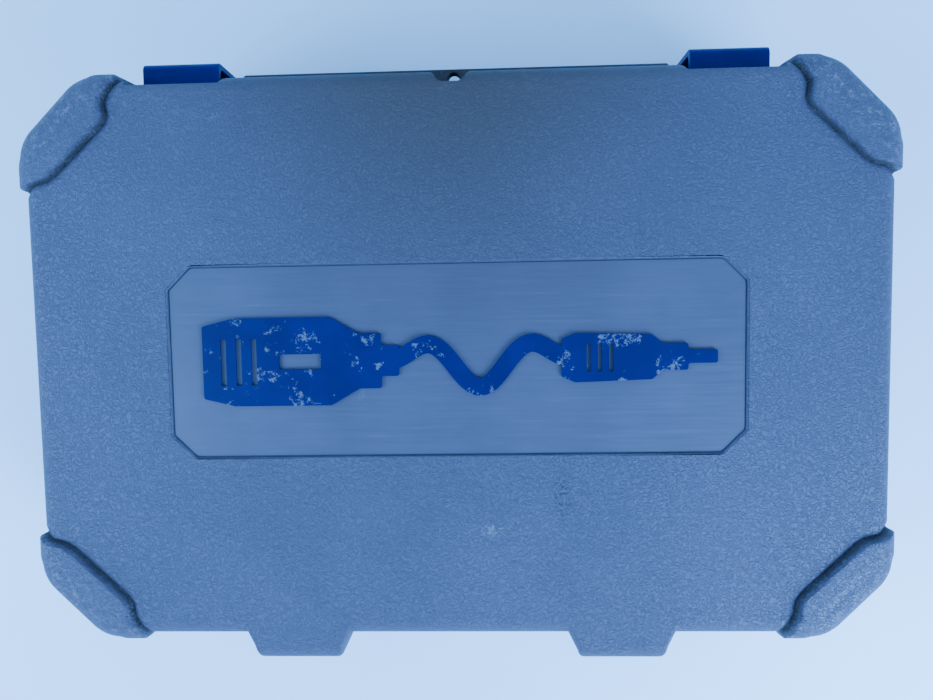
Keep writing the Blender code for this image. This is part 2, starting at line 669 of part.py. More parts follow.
def accessory_box():
    """Open box with three compartments and rails that guide its sliding cover."""
    box = block("accessory_box", BOX_X, BOX_Y, BOX_Z, finish=CLEAR)
    inside_x = (BOX_X[0] + BOX_WALL, BOX_X[1] - BOX_WALL)
    inside_y = (BOX_Y[0] + BOX_WALL, BOX_Y[1] - BOX_WALL)
    width = (inside_x[1] - inside_x[0] - 2 * BOX_WALL) / 3
    for place in range(3):
        low = inside_x[0] + place * (width + BOX_WALL)
        room = block(f"compartment_{place}", (low, low + width), inside_y,
                     (BOX_Z[0] + BOX_WALL, BOX_Z[1] + 0.001))
        combine(box, room, "DIFFERENCE")
    slot = block("cover_slot", (inside_x[0], BOX_X[1] + 0.001), inside_y,
                 (BOX_COVER_Z[0] - GAP, BOX_Z[1] + 0.001))
    combine(box, slot, "DIFFERENCE")
    return box


def accessory_box_cover():
    """Flat cover with a row of finger ridges near its open end."""
    xs = (BOX_X[0] + BOX_WALL + GAP, BOX_X[1] - GAP)
    ys = (BOX_Y[0] + BOX_WALL + GAP, BOX_Y[1] - BOX_WALL - GAP)
    cover = block("accessory_box_cover", xs, ys, BOX_COVER_Z, finish=CLEAR)
    middle = (ys[0] + ys[1]) / 2
    for place in range(4):
        x = xs[1] - 0.008 - 0.004 * place
        ridge = block(f"finger_ridge_{place}", (x - 0.0008, x + 0.0008),
                      (middle - 0.012, middle + 0.012), (BOX_COVER_Z[0] + 0.001, 0.0490))
        combine(cover, ridge, "UNION")
    return cover


def accessories():
    """Bits on 3.2 mm shanks, lying on the floor of the box with their axes along Y."""
    floor = BOX_Z[0] + BOX_WALL + GAP
    shank = 0.0016
    kinds = (
        ("grinding_stone", -0.138, 0.0075, [(0, 0.0060), (0.002, 0.0075), (0.012, 0.0075),
                                           (0.014, 0.0050)], STONE),
        ("sanding_drum", -0.120, 0.0065, [(0, 0.0065), (0.0127, 0.0065)], ABRASIVE),
        ("polishing_wheel", -0.092, 0.0095, [(0, 0.0085), (0.001, 0.0095), (0.006, 0.0095),
                                            (0.007, 0.0085)], FELT),
        ("wire_wheel", -0.069, 0.0095, [(0, 0.0060), (0.0015, 0.0095), (0.0035, 0.0095),
                                       (0.005, 0.0060)], STEEL),
        ("cutting_disc", -0.040, 0.0110, [(0, 0.0110), (0.0009, 0.0110)], ABRASIVE),
        ("drill_bit", -0.020, 0.0016, [(0, 0.0004), (0.002, 0.0014), (0.020, 0.0014)], STEEL),
    )
    for name, x, radius, head, finish in kinds:
        neck, widest = head[-1]
        length = 0.034 if widest > shank else 0.020
        outer = head + [(neck, shank), (neck + length, shank)]
        piece = turned(name, outer, axis="Y", centre=(x, floor + radius), finish=finish, steps=14)
        piece.location.y = ACCESSORY_Y


def small_tools():
    """The wrench, and the nose cap and collet nut that the flexible shaft takes the place of."""
    outline = [(0.0250, -0.0640), (0.0250, -0.0710), (0.0300, -0.0760), (0.0420, -0.0760),
               (0.0480, -0.0710), (0.0850, -0.0705), (0.0900, -0.0735), (0.0980, -0.0735),
               (0.1050, -0.0690), (0.1050, -0.0660), (0.0980, -0.0615), (0.0900, -0.0615),
               (0.0850, -0.0645), (0.0480, -0.0640), (0.0420, -0.0590), (0.0300, -0.0590)]
    wrench = extruded("collet_wrench", outline, 0.0388, 0.0412, finish=STEEL)
    bore = rod("wrench_hex", 0.0052, (0.030, 0.050), (0.0360, -0.0675), "Z", sides=6)
    slot = block("wrench_jaw", (0.0970, 0.1100), (-0.0700, -0.0650), (0.030, 0.050))
    for cutter in (bore, slot):
        combine(wrench, cutter, "DIFFERENCE")
    turned("nose_cap",
           [(0.0243, 0.0130), (0.0290, 0.0140), (0.0400, 0.0105), (0.0440, 0.0085)],
           [(0.0243, 0.0098), (0.0360, 0.0098), (0.0400, 0.0060), (0.0440, 0.0060)],
           finish=TOOL_GREY, axis="Z", centre=(0.058, -0.007), steps=20)
    turned("collet_nut",
           [(0.0303, 0.0055), (0.0370, 0.0060), (0.0400, 0.0045), (0.0430, 0.0040)],
           [(0.0303, 0.0036), (0.0400, 0.0036), (0.0430, 0.0018)],
           finish=STEEL, axis="Z", centre=(0.1015, -0.007), steps=12)


# ---- Rotary tool ------------------------------------------------------------------------------------
TOOL_CENTRE = (TOOL_Y, AXIS_Z)


def tool_piece(name, outer, bore=(), finish=STEEL, steps=20):
    return turned(name, outer, bore, finish, "X", TOOL_CENTRE, steps)


def housing_halves():
    """Clamshell of the motor, split along the upright plane through its axis."""
    outer = [(-0.0917, 0.0240), (-0.0600, 0.0260), (0.0050, 0.0260), (0.0300, 0.0230),
             (0.0440, 0.0200)]
    bore = [(place, radius - HOUSING_WALL) for place, radius in outer]
    openings = [block("dial_window", (-0.0865, -0.0735), (TOOL_Y - 0.0033, TOOL_Y + 0.0033),
                      (0.060, 0.080)),
                block("switch_window", (-0.0562, -0.0238), (TOOL_Y - 0.0053, TOOL_Y + 0.0053),
                      (0.060, 0.080)),
                rod("lock_window", 0.0043, (0.055, 0.080), (0.0330, TOOL_Y), "Z"),
                rod("brush_window", 0.0048, (TOOL_Y - 0.04, TOOL_Y + 0.04), (-0.0580, AXIS_Z), "Y")]
    for place in range(5):
        x = 0.0085 + 0.0045 * place
        openings.append(block(f"vent_{place}", (x, x + 0.0022), (TOOL_Y - 0.04, TOOL_Y + 0.04),
                              (AXIS_Z - 0.0085, AXIS_Z + 0.0085)))
    for word, low, high in (("front", TOOL_Y + GAP / 2, 0.2), ("rear", -0.2, TOOL_Y - GAP / 2)):
        half = tool_piece("housing_half_" + word, outer, bore, TOOL_GREY)
        room = block("half_space_" + word, (-0.2, 0.2), (low, high), (0.0, 0.1))
        combine(half, room, "INTERSECT")
        for cutter in openings:
            combine(half, cutter, "DIFFERENCE")


def motor():
    """Everything inside the housing, from the tail to the nose."""
    tool_piece("tail_cap",
               [(-0.1040, 0.0180), (-0.1000, 0.0225), (-0.0920, 0.0240)],
               [(-0.1040, 0.0063), (-0.1020, 0.0063), (-0.1005, 0.0195), (-0.0920, 0.0205)],
               TOOL_GREY)
    tool_piece("cord_gland",
               [(-0.1160, 0.0048), (-0.1043, 0.0060), (-0.1018, 0.0060), (-0.0990, 0.0075),
                (-0.0975, 0.0075)],
               [(-0.1160, 0.0032), (-0.0975, 0.0032)], RUBBER, 16)
    tool_piece("rear_bearing", [(-0.0900, 0.0080), (-0.0850, 0.0080)],
               [(-0.0900, 0.0033), (-0.0850, 0.0033)], STEEL, 16)
    tool_piece("rear_bearing_plate",
               [(-0.0905, 0.0202), (-0.0880, 0.0202), (-0.0875, 0.0110), (-0.0830, 0.0110)],
               [(-0.0905, 0.0083), (-0.0847, 0.0083), (-0.0847, 0.0060), (-0.0830, 0.0060)],
               TRAY_BLACK, 16)
    tool_piece("motor_shaft", [(-0.0890, SHAFT_RADIUS), (0.0640, SHAFT_RADIUS)], (), STEEL, 12)
    rotating = [
        tool_piece("commutator", [(-0.0660, 0.0080), (-0.0500, 0.0080), (-0.0490, 0.0090),
                                  (-0.0470, 0.0090)],
                   [(-0.0660, 0.0033), (-0.0470, 0.0033)], COPPER, 16),
        tool_piece("armature", [(-0.0440, 0.0100), (-0.0400, 0.0138), (0.0010, 0.0138),
                                (0.0050, 0.0100)],
                   [(-0.0440, 0.0033), (0.0050, 0.0033)], IRON, 20),
        cooling_fan(),
        tool_piece("drive_socket", [(0.0600, 0.0055), (0.0690, 0.0055)],
                   [(0.0600, 0.0033), (0.0643, 0.0033), (0.0643, 0.0020), (0.0690, 0.0020)],
                   STEEL, 12)]
    shaft = bpy.data.objects["motor_shaft"]
    for piece in rotating:
        attach(piece, shaft)
    stator = tool_piece("stator", [(-0.0420, 0.0220), (0.0030, 0.0220)],
                        [(-0.0420, 0.0148), (0.0030, 0.0148)], IRON, 20)
    attach(stator, bpy.data.objects["housing_half_rear"])
    tool_piece("front_bearing", [(0.0360, 0.0090), (0.0430, 0.0090)],
               [(0.0360, 0.0033), (0.0430, 0.0033)], STEEL, 16)
    tool_piece("nose_collar",
               [(0.0350, 0.0120), (0.0443, 0.0120), (0.0444, 0.0200), (0.0500, 0.0165),
                (0.0540, 0.0130), (0.0541, 0.0095), (0.0640, 0.0095)],
               [(0.0350, 0.0093), (0.0433, 0.0093), (0.0434, 0.0062), (0.0640, 0.0062)], STEEL)


def cooling_fan():
    """Disc with eight straight blades behind it."""
    fan = tool_piece("cooling_fan", [(0.0120, 0.0165), (0.0135, 0.0165)],
                     [(0.0120, 0.0033), (0.0135, 0.0033)], TRAY_BLACK, 16)
    for place in range(8):
        blade = block(f"fan_blade_{place}", (0.0125, 0.0200), (0.0075, 0.0160), (-0.0006, 0.0006))
        blade.matrix_world = (Matrix.Translation((0.0, *TOOL_CENTRE))
                              @ Matrix.Rotation(2 * math.pi * place / 8, 4, "X"))
        combine(fan, blade, "UNION")
    return fan


def controls():
    """Brushes, speed dial, slide switch, spindle lock and hanging ring."""
    for side, word in ((-1, "rear"), (1, "front")):
        ys = sorted(TOOL_Y + side * reach for reach in (0.0083, 0.0200))
        block("brush_" + word, (-0.0605, -0.0555), ys, (AXIS_Z - 0.0032, AXIS_Z + 0.0032), CARBON)
        ys = sorted(TOOL_Y + side * reach for reach in (0.0203, 0.0262))
        cap = rod("brush_cap_" + word, 0.0045, ys, (-0.0580, AXIS_Z), "Y", RUBBER, 12)
        slot_y = sorted(TOOL_Y + side * reach for reach in (0.0254, 0.0290))
        combine(cap, block("cap_slot_" + word, (-0.0630, -0.0530), slot_y,
                           (AXIS_Z - 0.0006, AXIS_Z + 0.0006)), "DIFFERENCE")
    dial_z = AXIS_Z + 0.0205
    dial = rod("speed_dial", 0.0060, (TOOL_Y - 0.0030, TOOL_Y + 0.0030), (-0.0800, dial_z), "Y",
               TOOL_BLUE, 20)
    origin_at(dial, (-0.0800, TOOL_Y, dial_z))
    switch = extruded("power_switch",
                      [(-0.0520, 0.0670), (-0.0340, 0.0670), (-0.0340, 0.0710), (-0.0380, 0.0730),
                       (-0.0430, 0.0722), (-0.0480, 0.0730), (-0.0520, 0.0710)],
                      TOOL_Y - 0.0050, TOOL_Y + 0.0050, axis="Y", finish=TOOL_BLUE)
    origin_at(switch, (-0.0430, TOOL_Y, 0.0690))
    turned("spindle_lock_button",
           [(0.0600, 0.0040), (0.0690, 0.0040), (0.0698, 0.0032)],
           finish=TOOL_BLUE, axis="Z", centre=(0.0330, TOOL_Y), steps=16)
    ring_x, ring_z = RING_AXIS
    arch = [(ring_x, TOOL_Y + RING_RADIUS * math.cos(angle), ring_z + RING_RADIUS * math.sin(angle))
            for angle in (math.pi * step / 12 for step in range(13))]
    ends = [(ring_x, TOOL_Y + side * 0.0238, ring_z) for side in (1, -1)]
    ring = as_mesh(tube("hanging_ring_path", [ends[0]] + arch + [ends[1]], 0.0009, sides=6), STEEL)
    ring.name = "hanging_ring"
    origin_at(ring, (ring_x, TOOL_Y, ring_z))


# ---- Flexible shaft ------------------------------------------------------------------------------------
def hand_piece(name, outer, bore=(), finish=STEEL, steps=18):
    return turned(name, outer, bore, finish, "X", (HANDPIECE_Y, AXIS_Z), steps)


def flexible_shaft():
    tool_piece("coupling_nut",
               [(0.0545, 0.0122), (0.0560, 0.0130), (0.0760, 0.0130), (0.0800, 0.0100)],
               [(0.0545, 0.0098), (0.0650, 0.0098), (0.0740, 0.0080), (0.0741, 0.0048),
                (0.0800, 0.0048)], STEEL)
    tool_piece("sheath_sleeve_tool", [(0.0803, 0.0088), (0.0880, 0.0080), (0.1100, 0.0056)],
               [(0.0803, 0.0048), (0.1100, 0.0048)], RUBBER, 16)
    tool_piece("drive_tip", [(0.0648, 0.0017), (0.0700, 0.0017), (0.0703, 0.0030),
                             (0.0770, 0.0030), (0.0871, 0.0030)], (), STEEL, 12)
    sheath = as_mesh(tube("flex_sheath_path", sheath_points(), SHEATH_RADIUS), RUBBER)
    sheath.name = "flex_sheath"
    hand_piece("sheath_sleeve_handpiece", [(-0.1190, 0.0056), (-0.1060, 0.0072),
                                           (-0.1003, 0.0085)],
               [(-0.1190, 0.0048), (-0.1003, 0.0048)], RUBBER, 16)
    hand_piece("handpiece_body",
               [(-0.1000, 0.0085), (-0.0960, 0.0100), (-0.0300, 0.0100), (-0.0200, 0.0088),
                (0.0050, 0.0088), (0.0150, 0.0100), (0.0240, 0.0085)],
               [(-0.1000, 0.0048), (-0.0950, 0.0048), (-0.0949, 0.0070), (0.0180, 0.0070),
                (0.0181, 0.0052), (0.0240, 0.0052)], TOOL_GREY)
    hand_piece("handpiece_bearing_rear", [(-0.0800, 0.0067), (-0.0740, 0.0067)],
               [(-0.0800, 0.0033), (-0.0740, 0.0033)], STEEL, 14)
    hand_piece("handpiece_bearing_front", [(0.0100, 0.0067), (0.0170, 0.0067)],
               [(0.0100, 0.0033), (0.0170, 0.0033)], STEEL, 14)
    spindle = hand_piece("handpiece_spindle", [(-0.0860, 0.0030), (0.0400, 0.0030)], (), STEEL, 12)
    nut = hand_piece("handpiece_collet_nut",
                     [(0.0245, 0.0048), (0.0260, 0.0062), (0.0380, 0.0062), (0.0430, 0.0040)],
                     [(0.0245, 0.0038), (0.0403, 0.0038), (0.0404, 0.0022), (0.0430, 0.0022)],
                     STEEL, 6)
    bit = hand_piece("carving_burr", [(0.0403, 0.0016), (0.0520, 0.0016), (0.0530, 0.0028),
                                      (0.0570, 0.0034), (0.0610, 0.0020), (0.0620, 0.0006)],
                     (), STEEL, 12)
    for piece in (nut, bit):
        attach(piece, spindle)


def build():
    lid = lid_shell()
    attach(lid_emblem(), lid)
    base_shell()
    for side, word in ((-1, "left"), (1, "right")):
        latch(side, word)
    carry_handle()
    pins()
    tool_tray()
    accessory_box()
    accessory_box_cover()
    accessories()
    small_tools()
    housing_halves()
    motor()
    controls()
    flexible_shaft()


build()
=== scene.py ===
"""Looks of the rotary tool kit in its carry case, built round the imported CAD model."""
import json
import math

import bmesh
import bpy
import numpy as np
from mathutils import Matrix, Vector


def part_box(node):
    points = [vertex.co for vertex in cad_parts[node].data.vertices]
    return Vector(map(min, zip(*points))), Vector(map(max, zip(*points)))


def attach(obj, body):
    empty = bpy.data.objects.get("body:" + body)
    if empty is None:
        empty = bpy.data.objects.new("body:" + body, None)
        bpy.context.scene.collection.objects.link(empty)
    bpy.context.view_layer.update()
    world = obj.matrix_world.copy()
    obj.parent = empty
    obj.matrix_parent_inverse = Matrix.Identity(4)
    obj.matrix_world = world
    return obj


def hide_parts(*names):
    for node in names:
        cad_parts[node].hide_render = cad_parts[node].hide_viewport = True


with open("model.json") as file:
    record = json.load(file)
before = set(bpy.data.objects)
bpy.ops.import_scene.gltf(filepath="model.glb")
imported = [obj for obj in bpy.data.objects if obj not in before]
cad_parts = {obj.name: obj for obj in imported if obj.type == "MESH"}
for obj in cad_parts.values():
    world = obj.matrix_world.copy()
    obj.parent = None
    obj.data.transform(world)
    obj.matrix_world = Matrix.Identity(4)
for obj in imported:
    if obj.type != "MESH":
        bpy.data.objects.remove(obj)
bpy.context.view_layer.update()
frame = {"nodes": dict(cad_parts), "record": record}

NODES = frame["nodes"]

# ---- Sizes, in metres, as the CAD model has them -----------------------------------------------
LID_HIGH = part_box("lid_shell")[1]
HALF_X, HALF_Y = 0.1966, 0.130       # moulded body at the seam
CORNER_CUT, CORNER_RADIUS = 0.029, 0.020
SEAM = 0.050                         # height of the line where lid and base meet
SEAM_GAP = 0.00015                   # half of the gap left open there
PAD = 0.003                          # how far the corner bumpers stand proud
FRONT_LEAN = 0.003                   # how far the front bumpers' inner ends lie further out
FACE = LID_HIGH.z - PAD              # outer face of the lid
DRAFT, EDGE_RADIUS, WALL = 0.0015, 0.0075, 0.0025
PANEL_HALF_X, PANEL_HALF_Y, PANEL_CUT, PANEL_DEPTH = 0.130, 0.0437, 0.0105, 0.001
LUG_X, LUG_TIP, LUG_ROOT, LUG_REACH, LUG_FLOOR = 0.0750, 0.0202, 0.0245, 0.012, 0.052
LUG_ROUND = 0.003                    # rounding of the lugs' outer corners in plan
HINGE_Y, HINGE_Z = -0.1355, SEAM
FLANGE_TOP = SEAM + SEAM_GAP + 0.0028
TOOL_Y, AXIS_Z = 0.058, 0.0445       # axis of the rotary tool, and height of the shaft
HOUSING_WALL, SHEATH_RADIUS = 0.0022, 0.0045
SHEATH_ROUTE = (
    (0.088, 0.058), (0.104, 0.058), (0.121, 0.0575), (0.138, 0.0535), (0.153, 0.0450),
    (0.165, 0.0325), (0.1735, 0.0165), (0.1785, -0.002), (0.1805, -0.022), (0.1800, -0.041),
    (0.1760, -0.060), (0.1670, -0.0775), (0.1530, -0.0925), (0.1355, -0.1030), (0.1150, -0.1075),
    (0.090, -0.108), (0.045, -0.108), (0.0, -0.108), (-0.045, -0.108), (-0.090, -0.108),
    (-0.1150, -0.1075), (-0.1355, -0.1030), (-0.1530, -0.0925), (-0.1670, -0.0775),
    (-0.1760, -0.060), (-0.1800, -0.041), (-0.1805, -0.010), (-0.1805, 0.022), (-0.1797, 0.0475),
    (-0.1752, 0.0702), (-0.1632, 0.0890), (-0.1442, 0.1016), (-0.1220, 0.1060), (-0.1100, 0.106),
    (-0.0980, 0.106))
PADLOCK_Y, PADLOCK_RADIUS = 0.1372, 0.0029
LATCH_X = 0.128                      # middle of each latch
ON_AXIS = 1e-5                       # radius under which a turned profile's point lies on its axis


# ---- Objects ---------------------------------------------------------------------------------------
def from_bmesh(name, bm, smooth_angle=35):
    """An object from a bmesh, with outward faces and smooth shading below an angle."""
    bmesh.ops.recalc_face_normals(bm, faces=bm.faces)
    mesh = bpy.data.meshes.new(name)
    bm.to_mesh(mesh)
    bm.free()
    obj = bpy.data.objects.new(name, mesh)
    bpy.context.scene.collection.objects.link(obj)
    mesh.shade_smooth()
    mesh.set_sharp_from_angle(angle=math.radians(smooth_angle))
    return obj


def bevel(obj, width, segments=3, angle=30):
    """Rounds the edges sharper than an angle."""
    step = obj.modifiers.new("bevel", "BEVEL")
    step.width = width
    step.segments = segments
    step.limit_method = "ANGLE"
    step.angle_limit = math.radians(angle)
    step.harden_normals = True


def extruded(name, outline, low, high, axis="Z"):
    """Flat outline pushed along an axis. The outline's points are in the other two coordinates."""
    bm = bmesh.new()
    order = "XYZ".index(axis)
    corners = []
    for point in outline:
        place = list(point)
        place.insert(order, low)
        corners.append(bm.verts.new(place))
    face = bm.faces.new(corners)
    pushed = bmesh.ops.extrude_face_region(bm, geom=[face])
    move = [0.0, 0.0, 0.0]
    move[order] = high - low
    moved = [item for item in pushed["geom"] if isinstance(item, bmesh.types.BMVert)]
    bmesh.ops.translate(bm, verts=moved, vec=move)
    return from_bmesh(name, bm)


def finish_piece(obj, body, node, material=None):
    """Puts the finish on a piece, lets it ride, and hides the CAD node it stands for."""
    if material:
        obj.data.materials.clear()
        obj.data.materials.append(material)
    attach(obj, body)
    if node:
        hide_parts(node)
    return obj


# ---- Materials ----------------------------------------------------------------------------------------
class Shader:
    """A Principled material with a short way to add and join nodes."""

    def __init__(self, name, roughness, metallic=0.0):
        self.material = bpy.data.materials.new(name)
        self.material.use_nodes = True
        self.tree = self.material.node_tree
        self.main = self.tree.nodes["Principled BSDF"]
        self.main.inputs["Roughness"].default_value = roughness
        self.main.inputs["Metallic"].default_value = metallic
        self.place = self.node("ShaderNodeTexCoord").outputs["Object"]

    def node(self, kind, **values):
        """Adds a node and sets its own values."""
        new = self.tree.nodes.new(kind)
        for key, value in values.items():
            setattr(new, key, value)
        return new

    def join(self, source, target):
        """Links an output to an input."""
        self.tree.links.new(source, target)

    def noise(self, scale, detail, roughness=0.55, distortion=0.0, place=None):
        """Soft random values from 0 to 1, with scale cells per metre."""
        new = self.node("ShaderNodeTexNoise")
        new.inputs["Scale"].default_value = scale
        new.inputs["Detail"].default_value = detail
        new.inputs["Roughness"].default_value = roughness
        new.inputs["Distortion"].default_value = distortion
        self.join(place or self.place, new.inputs["Vector"])
        return new.outputs["Fac"]

    def cells(self, scale):
        """Distance to the nearest of scattered points, scale of them per metre."""
        new = self.node("ShaderNodeTexVoronoi", feature="F1")
        new.inputs["Scale"].default_value = scale
        self.join(self.place, new.inputs["Vector"])
        return new.outputs["Distance"]

    def shifted(self, by):
        """Object coordinates moved along X, to read another part of a noise."""
        total = self.node("ShaderNodeVectorMath", operation="ADD")
        self.join(self.place, total.inputs[0])
        total.inputs[1].default_value = (by, 0.0, 0.0)
        return total.outputs[0]

    def span(self, value, low, high, to_low=0.0, to_high=1.0):
        """Smooth map of a value from one range to another."""
        new = self.node("ShaderNodeMapRange", interpolation_type="SMOOTHSTEP")
        self.join(value, new.inputs["Value"])
        for key, number in (("From Min", low), ("From Max", high), ("To Min", to_low),
                            ("To Max", to_high)):
            new.inputs[key].default_value = number
        return new.outputs["Result"]

    def math(self, operation, first, second):
        """Sum, product and so on of two values, each a number or another node's output."""
        new = self.node("ShaderNodeMath", operation=operation)
        for slot, value in zip(new.inputs, (first, second)):
            if isinstance(value, (int, float)):
                slot.default_value = value
            else:
                self.join(value, slot)
        return new.outputs[0]

    def mix(self, share, first, second, blend="MIX"):
        """Colour between two colours. Each may be a colour or another node's output."""
        new = self.node("ShaderNodeMix", data_type="RGBA", blend_type=blend)
        if isinstance(share, (int, float)):
            new.inputs[0].default_value = share
        else:
            self.join(share, new.inputs[0])
        for slot, value in ((new.inputs[6], first), (new.inputs[7], second)):
            if isinstance(value, tuple):
                slot.default_value = (*value, 1.0)
            else:
                self.join(value, slot)
        return new.outputs[2]

    def spot(self, centre, radius, squeeze=(1.0, 1.0, 1.0)):
        """1 at a place on the object, falling to 0 at radius."""
        shift = self.node("ShaderNodeVectorMath", operation="SUBTRACT")
        self.join(self.place, shift.inputs[0])
        shift.inputs[1].default_value = centre
        size = self.node("ShaderNodeVectorMath", operation="MULTIPLY")
        self.join(shift.outputs[0], size.inputs[0])
        size.inputs[1].default_value = squeeze
        length = self.node("ShaderNodeVectorMath", operation="LENGTH")
        self.join(size.outputs[0], length.inputs[0])
        return self.span(length.outputs["Value"], radius, 0.0)

    def sheen_off(self, level):
        """Weakens the mirror-like share of the reflection."""
        self.main.inputs["Specular IOR Level"].default_value = level

    def colour(self, value):
        """Sets the base colour, or links it."""
        if isinstance(value, tuple):
            self.main.inputs["Base Color"].default_value = (*value, 1.0)
        else:
            self.join(value, self.main.inputs["Base Color"])

    def roughness(self, value):
        """Links the roughness."""
        self.join(value, self.main.inputs["Roughness"])

    def bump(self, height, distance, strength):
        """Raises the surface by a height map, distance metres deep."""
        new = self.node("ShaderNodeBump")
        new.inputs["Strength"].default_value = strength
        new.inputs["Distance"].default_value = distance
        self.join(height, new.inputs["Height"])
        self.join(new.outputs["Normal"], self.main.inputs["Normal"])


CASE_GREY = (0.090, 0.074, 0.104)
CASE_PALE = (0.20, 0.17, 0.20)
# Painted shade for the valleys of the leather grain.
GRAIN_VALLEY_SHADE = (0.040, 0.033, 0.045)
# Painted shade: a broad darker brownish patch over the lid's middle towards +Y, for the shade that falls
# there. The sunk panel uses it too.
PAINTED_SHADE_TONE = (0.060, 0.034, 0.026)
PAINTED_SHADE_SPOT = ((0.0, 0.160, FACE), 0.29, (1.7, 1.6, 1.0))       # centre, radius, squeeze
# Painted shade for the dark line in the creases along the bumpers' feet.
CREASE_SHADE = (0.032, 0.022, 0.024)
GRAIN, GRAIN_DEPTH = 410.0, 0.00028                             # cells per metre, and depth
# Small marks on the lid: where, how large, how it is squeezed, the noise that breaks it up with the
# range it is cut at, its strength and its colour.
MARKS = (
    ((0.0480, -0.0625), 0.017, 2.6, 1.0, (640.0, 2.0, 0.55), (0.53, 0.59), 0.85, (0.012, 0.012, 0.015)),
    ((0.0155, -0.0781), 0.011, 1.0, 3.0, (500.0, 3.0, 0.7), (0.50, 0.60), 0.8, (0.26, 0.23, 0.24)),
    ((-0.1062, 0.1106), 0.010, 1.0, 5.0, (300.0, 3.0, 0.7), (0.48, 0.60), 0.5, (0.24, 0.21, 0.23)))


def leather_grain(shader):
    """Height of a leather grain, and how close a point is to one of its valleys."""
    ridges = []
    for share, shift in ((1.0, 0.0), (1.35, 7.3)):
        value = shader.noise(GRAIN * share, 1.5, 0.5, 0.6, shader.shifted(shift))
        ridges.append(shader.math("ABSOLUTE", shader.math("SUBTRACT", value, 0.5), 0.0))
    valley = shader.math("MINIMUM", ridges[0], ridges[1])
    fine = shader.math("MULTIPLY", shader.noise(GRAIN * 3.0, 2.0), 0.4)
    return shader.math("ADD", shader.span(valley, 0.0, 0.055), fine), valley


def worn_corners(shader, colour):
    """Pale speckles on the case's four corners."""
    plan = shader.node("ShaderNodeSeparateXYZ")
    shader.join(shader.place, plan.inputs[0])
    reach = shader.math("ADD", shader.math("ABSOLUTE", plan.outputs["X"], 0.0),
                        shader.math("ABSOLUTE", plan.outputs["Y"], 0.0))
    speckled = shader.math("MULTIPLY", shader.span(reach, 0.268, 0.285),
                           shader.span(shader.noise(350.0, 5.0, 0.75), 0.50, 0.66))
    return shader.mix(shader.math("MULTIPLY", speckled, 0.75), colour, CASE_PALE)


def painted_crease_shade(shader, colour):
    """Painted shade: a dark line along the bumpers' feet, where the crease lies in shade, read from the
    mesh's "foot" values, which are 1 there.
    """
    foot = shader.node("ShaderNodeAttribute", attribute_name="foot").outputs["Fac"]
    off = shader.math("ABSOLUTE", shader.math("SUBTRACT", foot, 1.02), 0.0)
    off = shader.math("ADD", off, shader.math("MULTIPLY", shader.noise(260.0, 2.0), 0.05))
    return shader.mix(shader.span(off, 0.160, 0.050), colour, CREASE_SHADE)


def case_plastic():
    """Moulded grey plastic with a leather grain, rubs and marks, and painted shade: darker grain valleys,
    a dark line along the bumpers' feet and a broad dark patch towards +Y.
    """
    shader = Shader("case_grained", 0.55)
    broad = shader.noise(14.0, 3.0)
    cloudy = shader.span(broad, 0.35, 0.68)
    colour = shader.mix(cloudy, tuple(c * 0.93 for c in CASE_GREY), tuple(c * 1.07 for c in CASE_GREY))
    height, valley = leather_grain(shader)
    # painted shade: the grain's valleys made darker, up to 0.22 of the way to a dark grey
    colour = shader.mix(shader.span(valley, 0.0, 0.04, 0.22, 0.0), colour, GRAIN_VALLEY_SHADE)
    # painted shade: the broad dark patch towards +Y
    colour = shader.mix(shader.spot(*PAINTED_SHADE_SPOT), colour, PAINTED_SHADE_TONE)
    rubs = shader.math("MULTIPLY", shader.span(shader.noise(9.0, 6.0, 0.7), 0.58, 0.74),
                       shader.span(shader.noise(420.0, 3.0, 0.7), 0.45, 0.62))
    colour = shader.mix(shader.math("MULTIPLY", rubs, 0.30), colour, CASE_PALE)
    colour = worn_corners(shader, colour)
    for place, radius, squeeze_x, squeeze_y, noise, cut, share, paint in MARKS:
        spot = shader.spot((*place, FACE), radius, (squeeze_x, squeeze_y, 1.0))
        broken = shader.math("MULTIPLY", spot, shader.span(shader.noise(*noise), *cut))
        colour = shader.mix(shader.math("MULTIPLY", broken, share), colour, paint)
    # painted shade along the bumpers' feet
    shader.colour(painted_crease_shade(shader, colour))
    shader.roughness(shader.span(broad, 0.3, 0.7, 0.50, 0.62))
    shader.sheen_off(0.35)
    shader.bump(height, GRAIN_DEPTH, 1.0)
    return shader.material


def panel_plastic():
    """The sunk panel: smooth, with a faint brushed look, pale rubs and painted shade: the broad dark patch
    towards +Y.
    """
    shader = Shader("case_panel", 0.42)
    broad = shader.noise(22.0, 4.0)
    colour = shader.mix(shader.span(broad, 0.35, 0.7), tuple(c * 0.82 for c in CASE_GREY),
                        tuple(c * 0.94 for c in CASE_GREY))
    stretch = shader.node("ShaderNodeMapping")
    stretch.inputs["Scale"].default_value = (0.04, 1.0, 1.0)
    shader.join(shader.place, stretch.inputs["Vector"])
    lines = shader.noise(900.0, 2.0, 0.5, 0.0, stretch.outputs["Vector"])
    colour = shader.mix(shader.span(lines, 0.62, 0.80, 0.0, 0.10), colour, CASE_PALE)
    rubs = shader.math("MULTIPLY", shader.span(shader.noise(16.0, 5.0, 0.7), 0.60, 0.75),
                       shader.span(shader.noise(380.0, 3.0, 0.7), 0.50, 0.64, 0.0, 0.5))
    colour = shader.mix(rubs, colour, CASE_PALE)
    # painted shade: the broad dark patch towards +Y, as on the grained skin
    shader.colour(shader.mix(shader.spot(*PAINTED_SHADE_SPOT), colour, PAINTED_SHADE_TONE))
    shader.roughness(shader.span(lines, 0.3, 0.7, 0.36, 0.46))
    shader.bump(shader.math("ADD", lines, shader.math("MULTIPLY", shader.noise(1500.0, 2.0), 0.5)),
                0.00002, 0.6)
    return shader.material


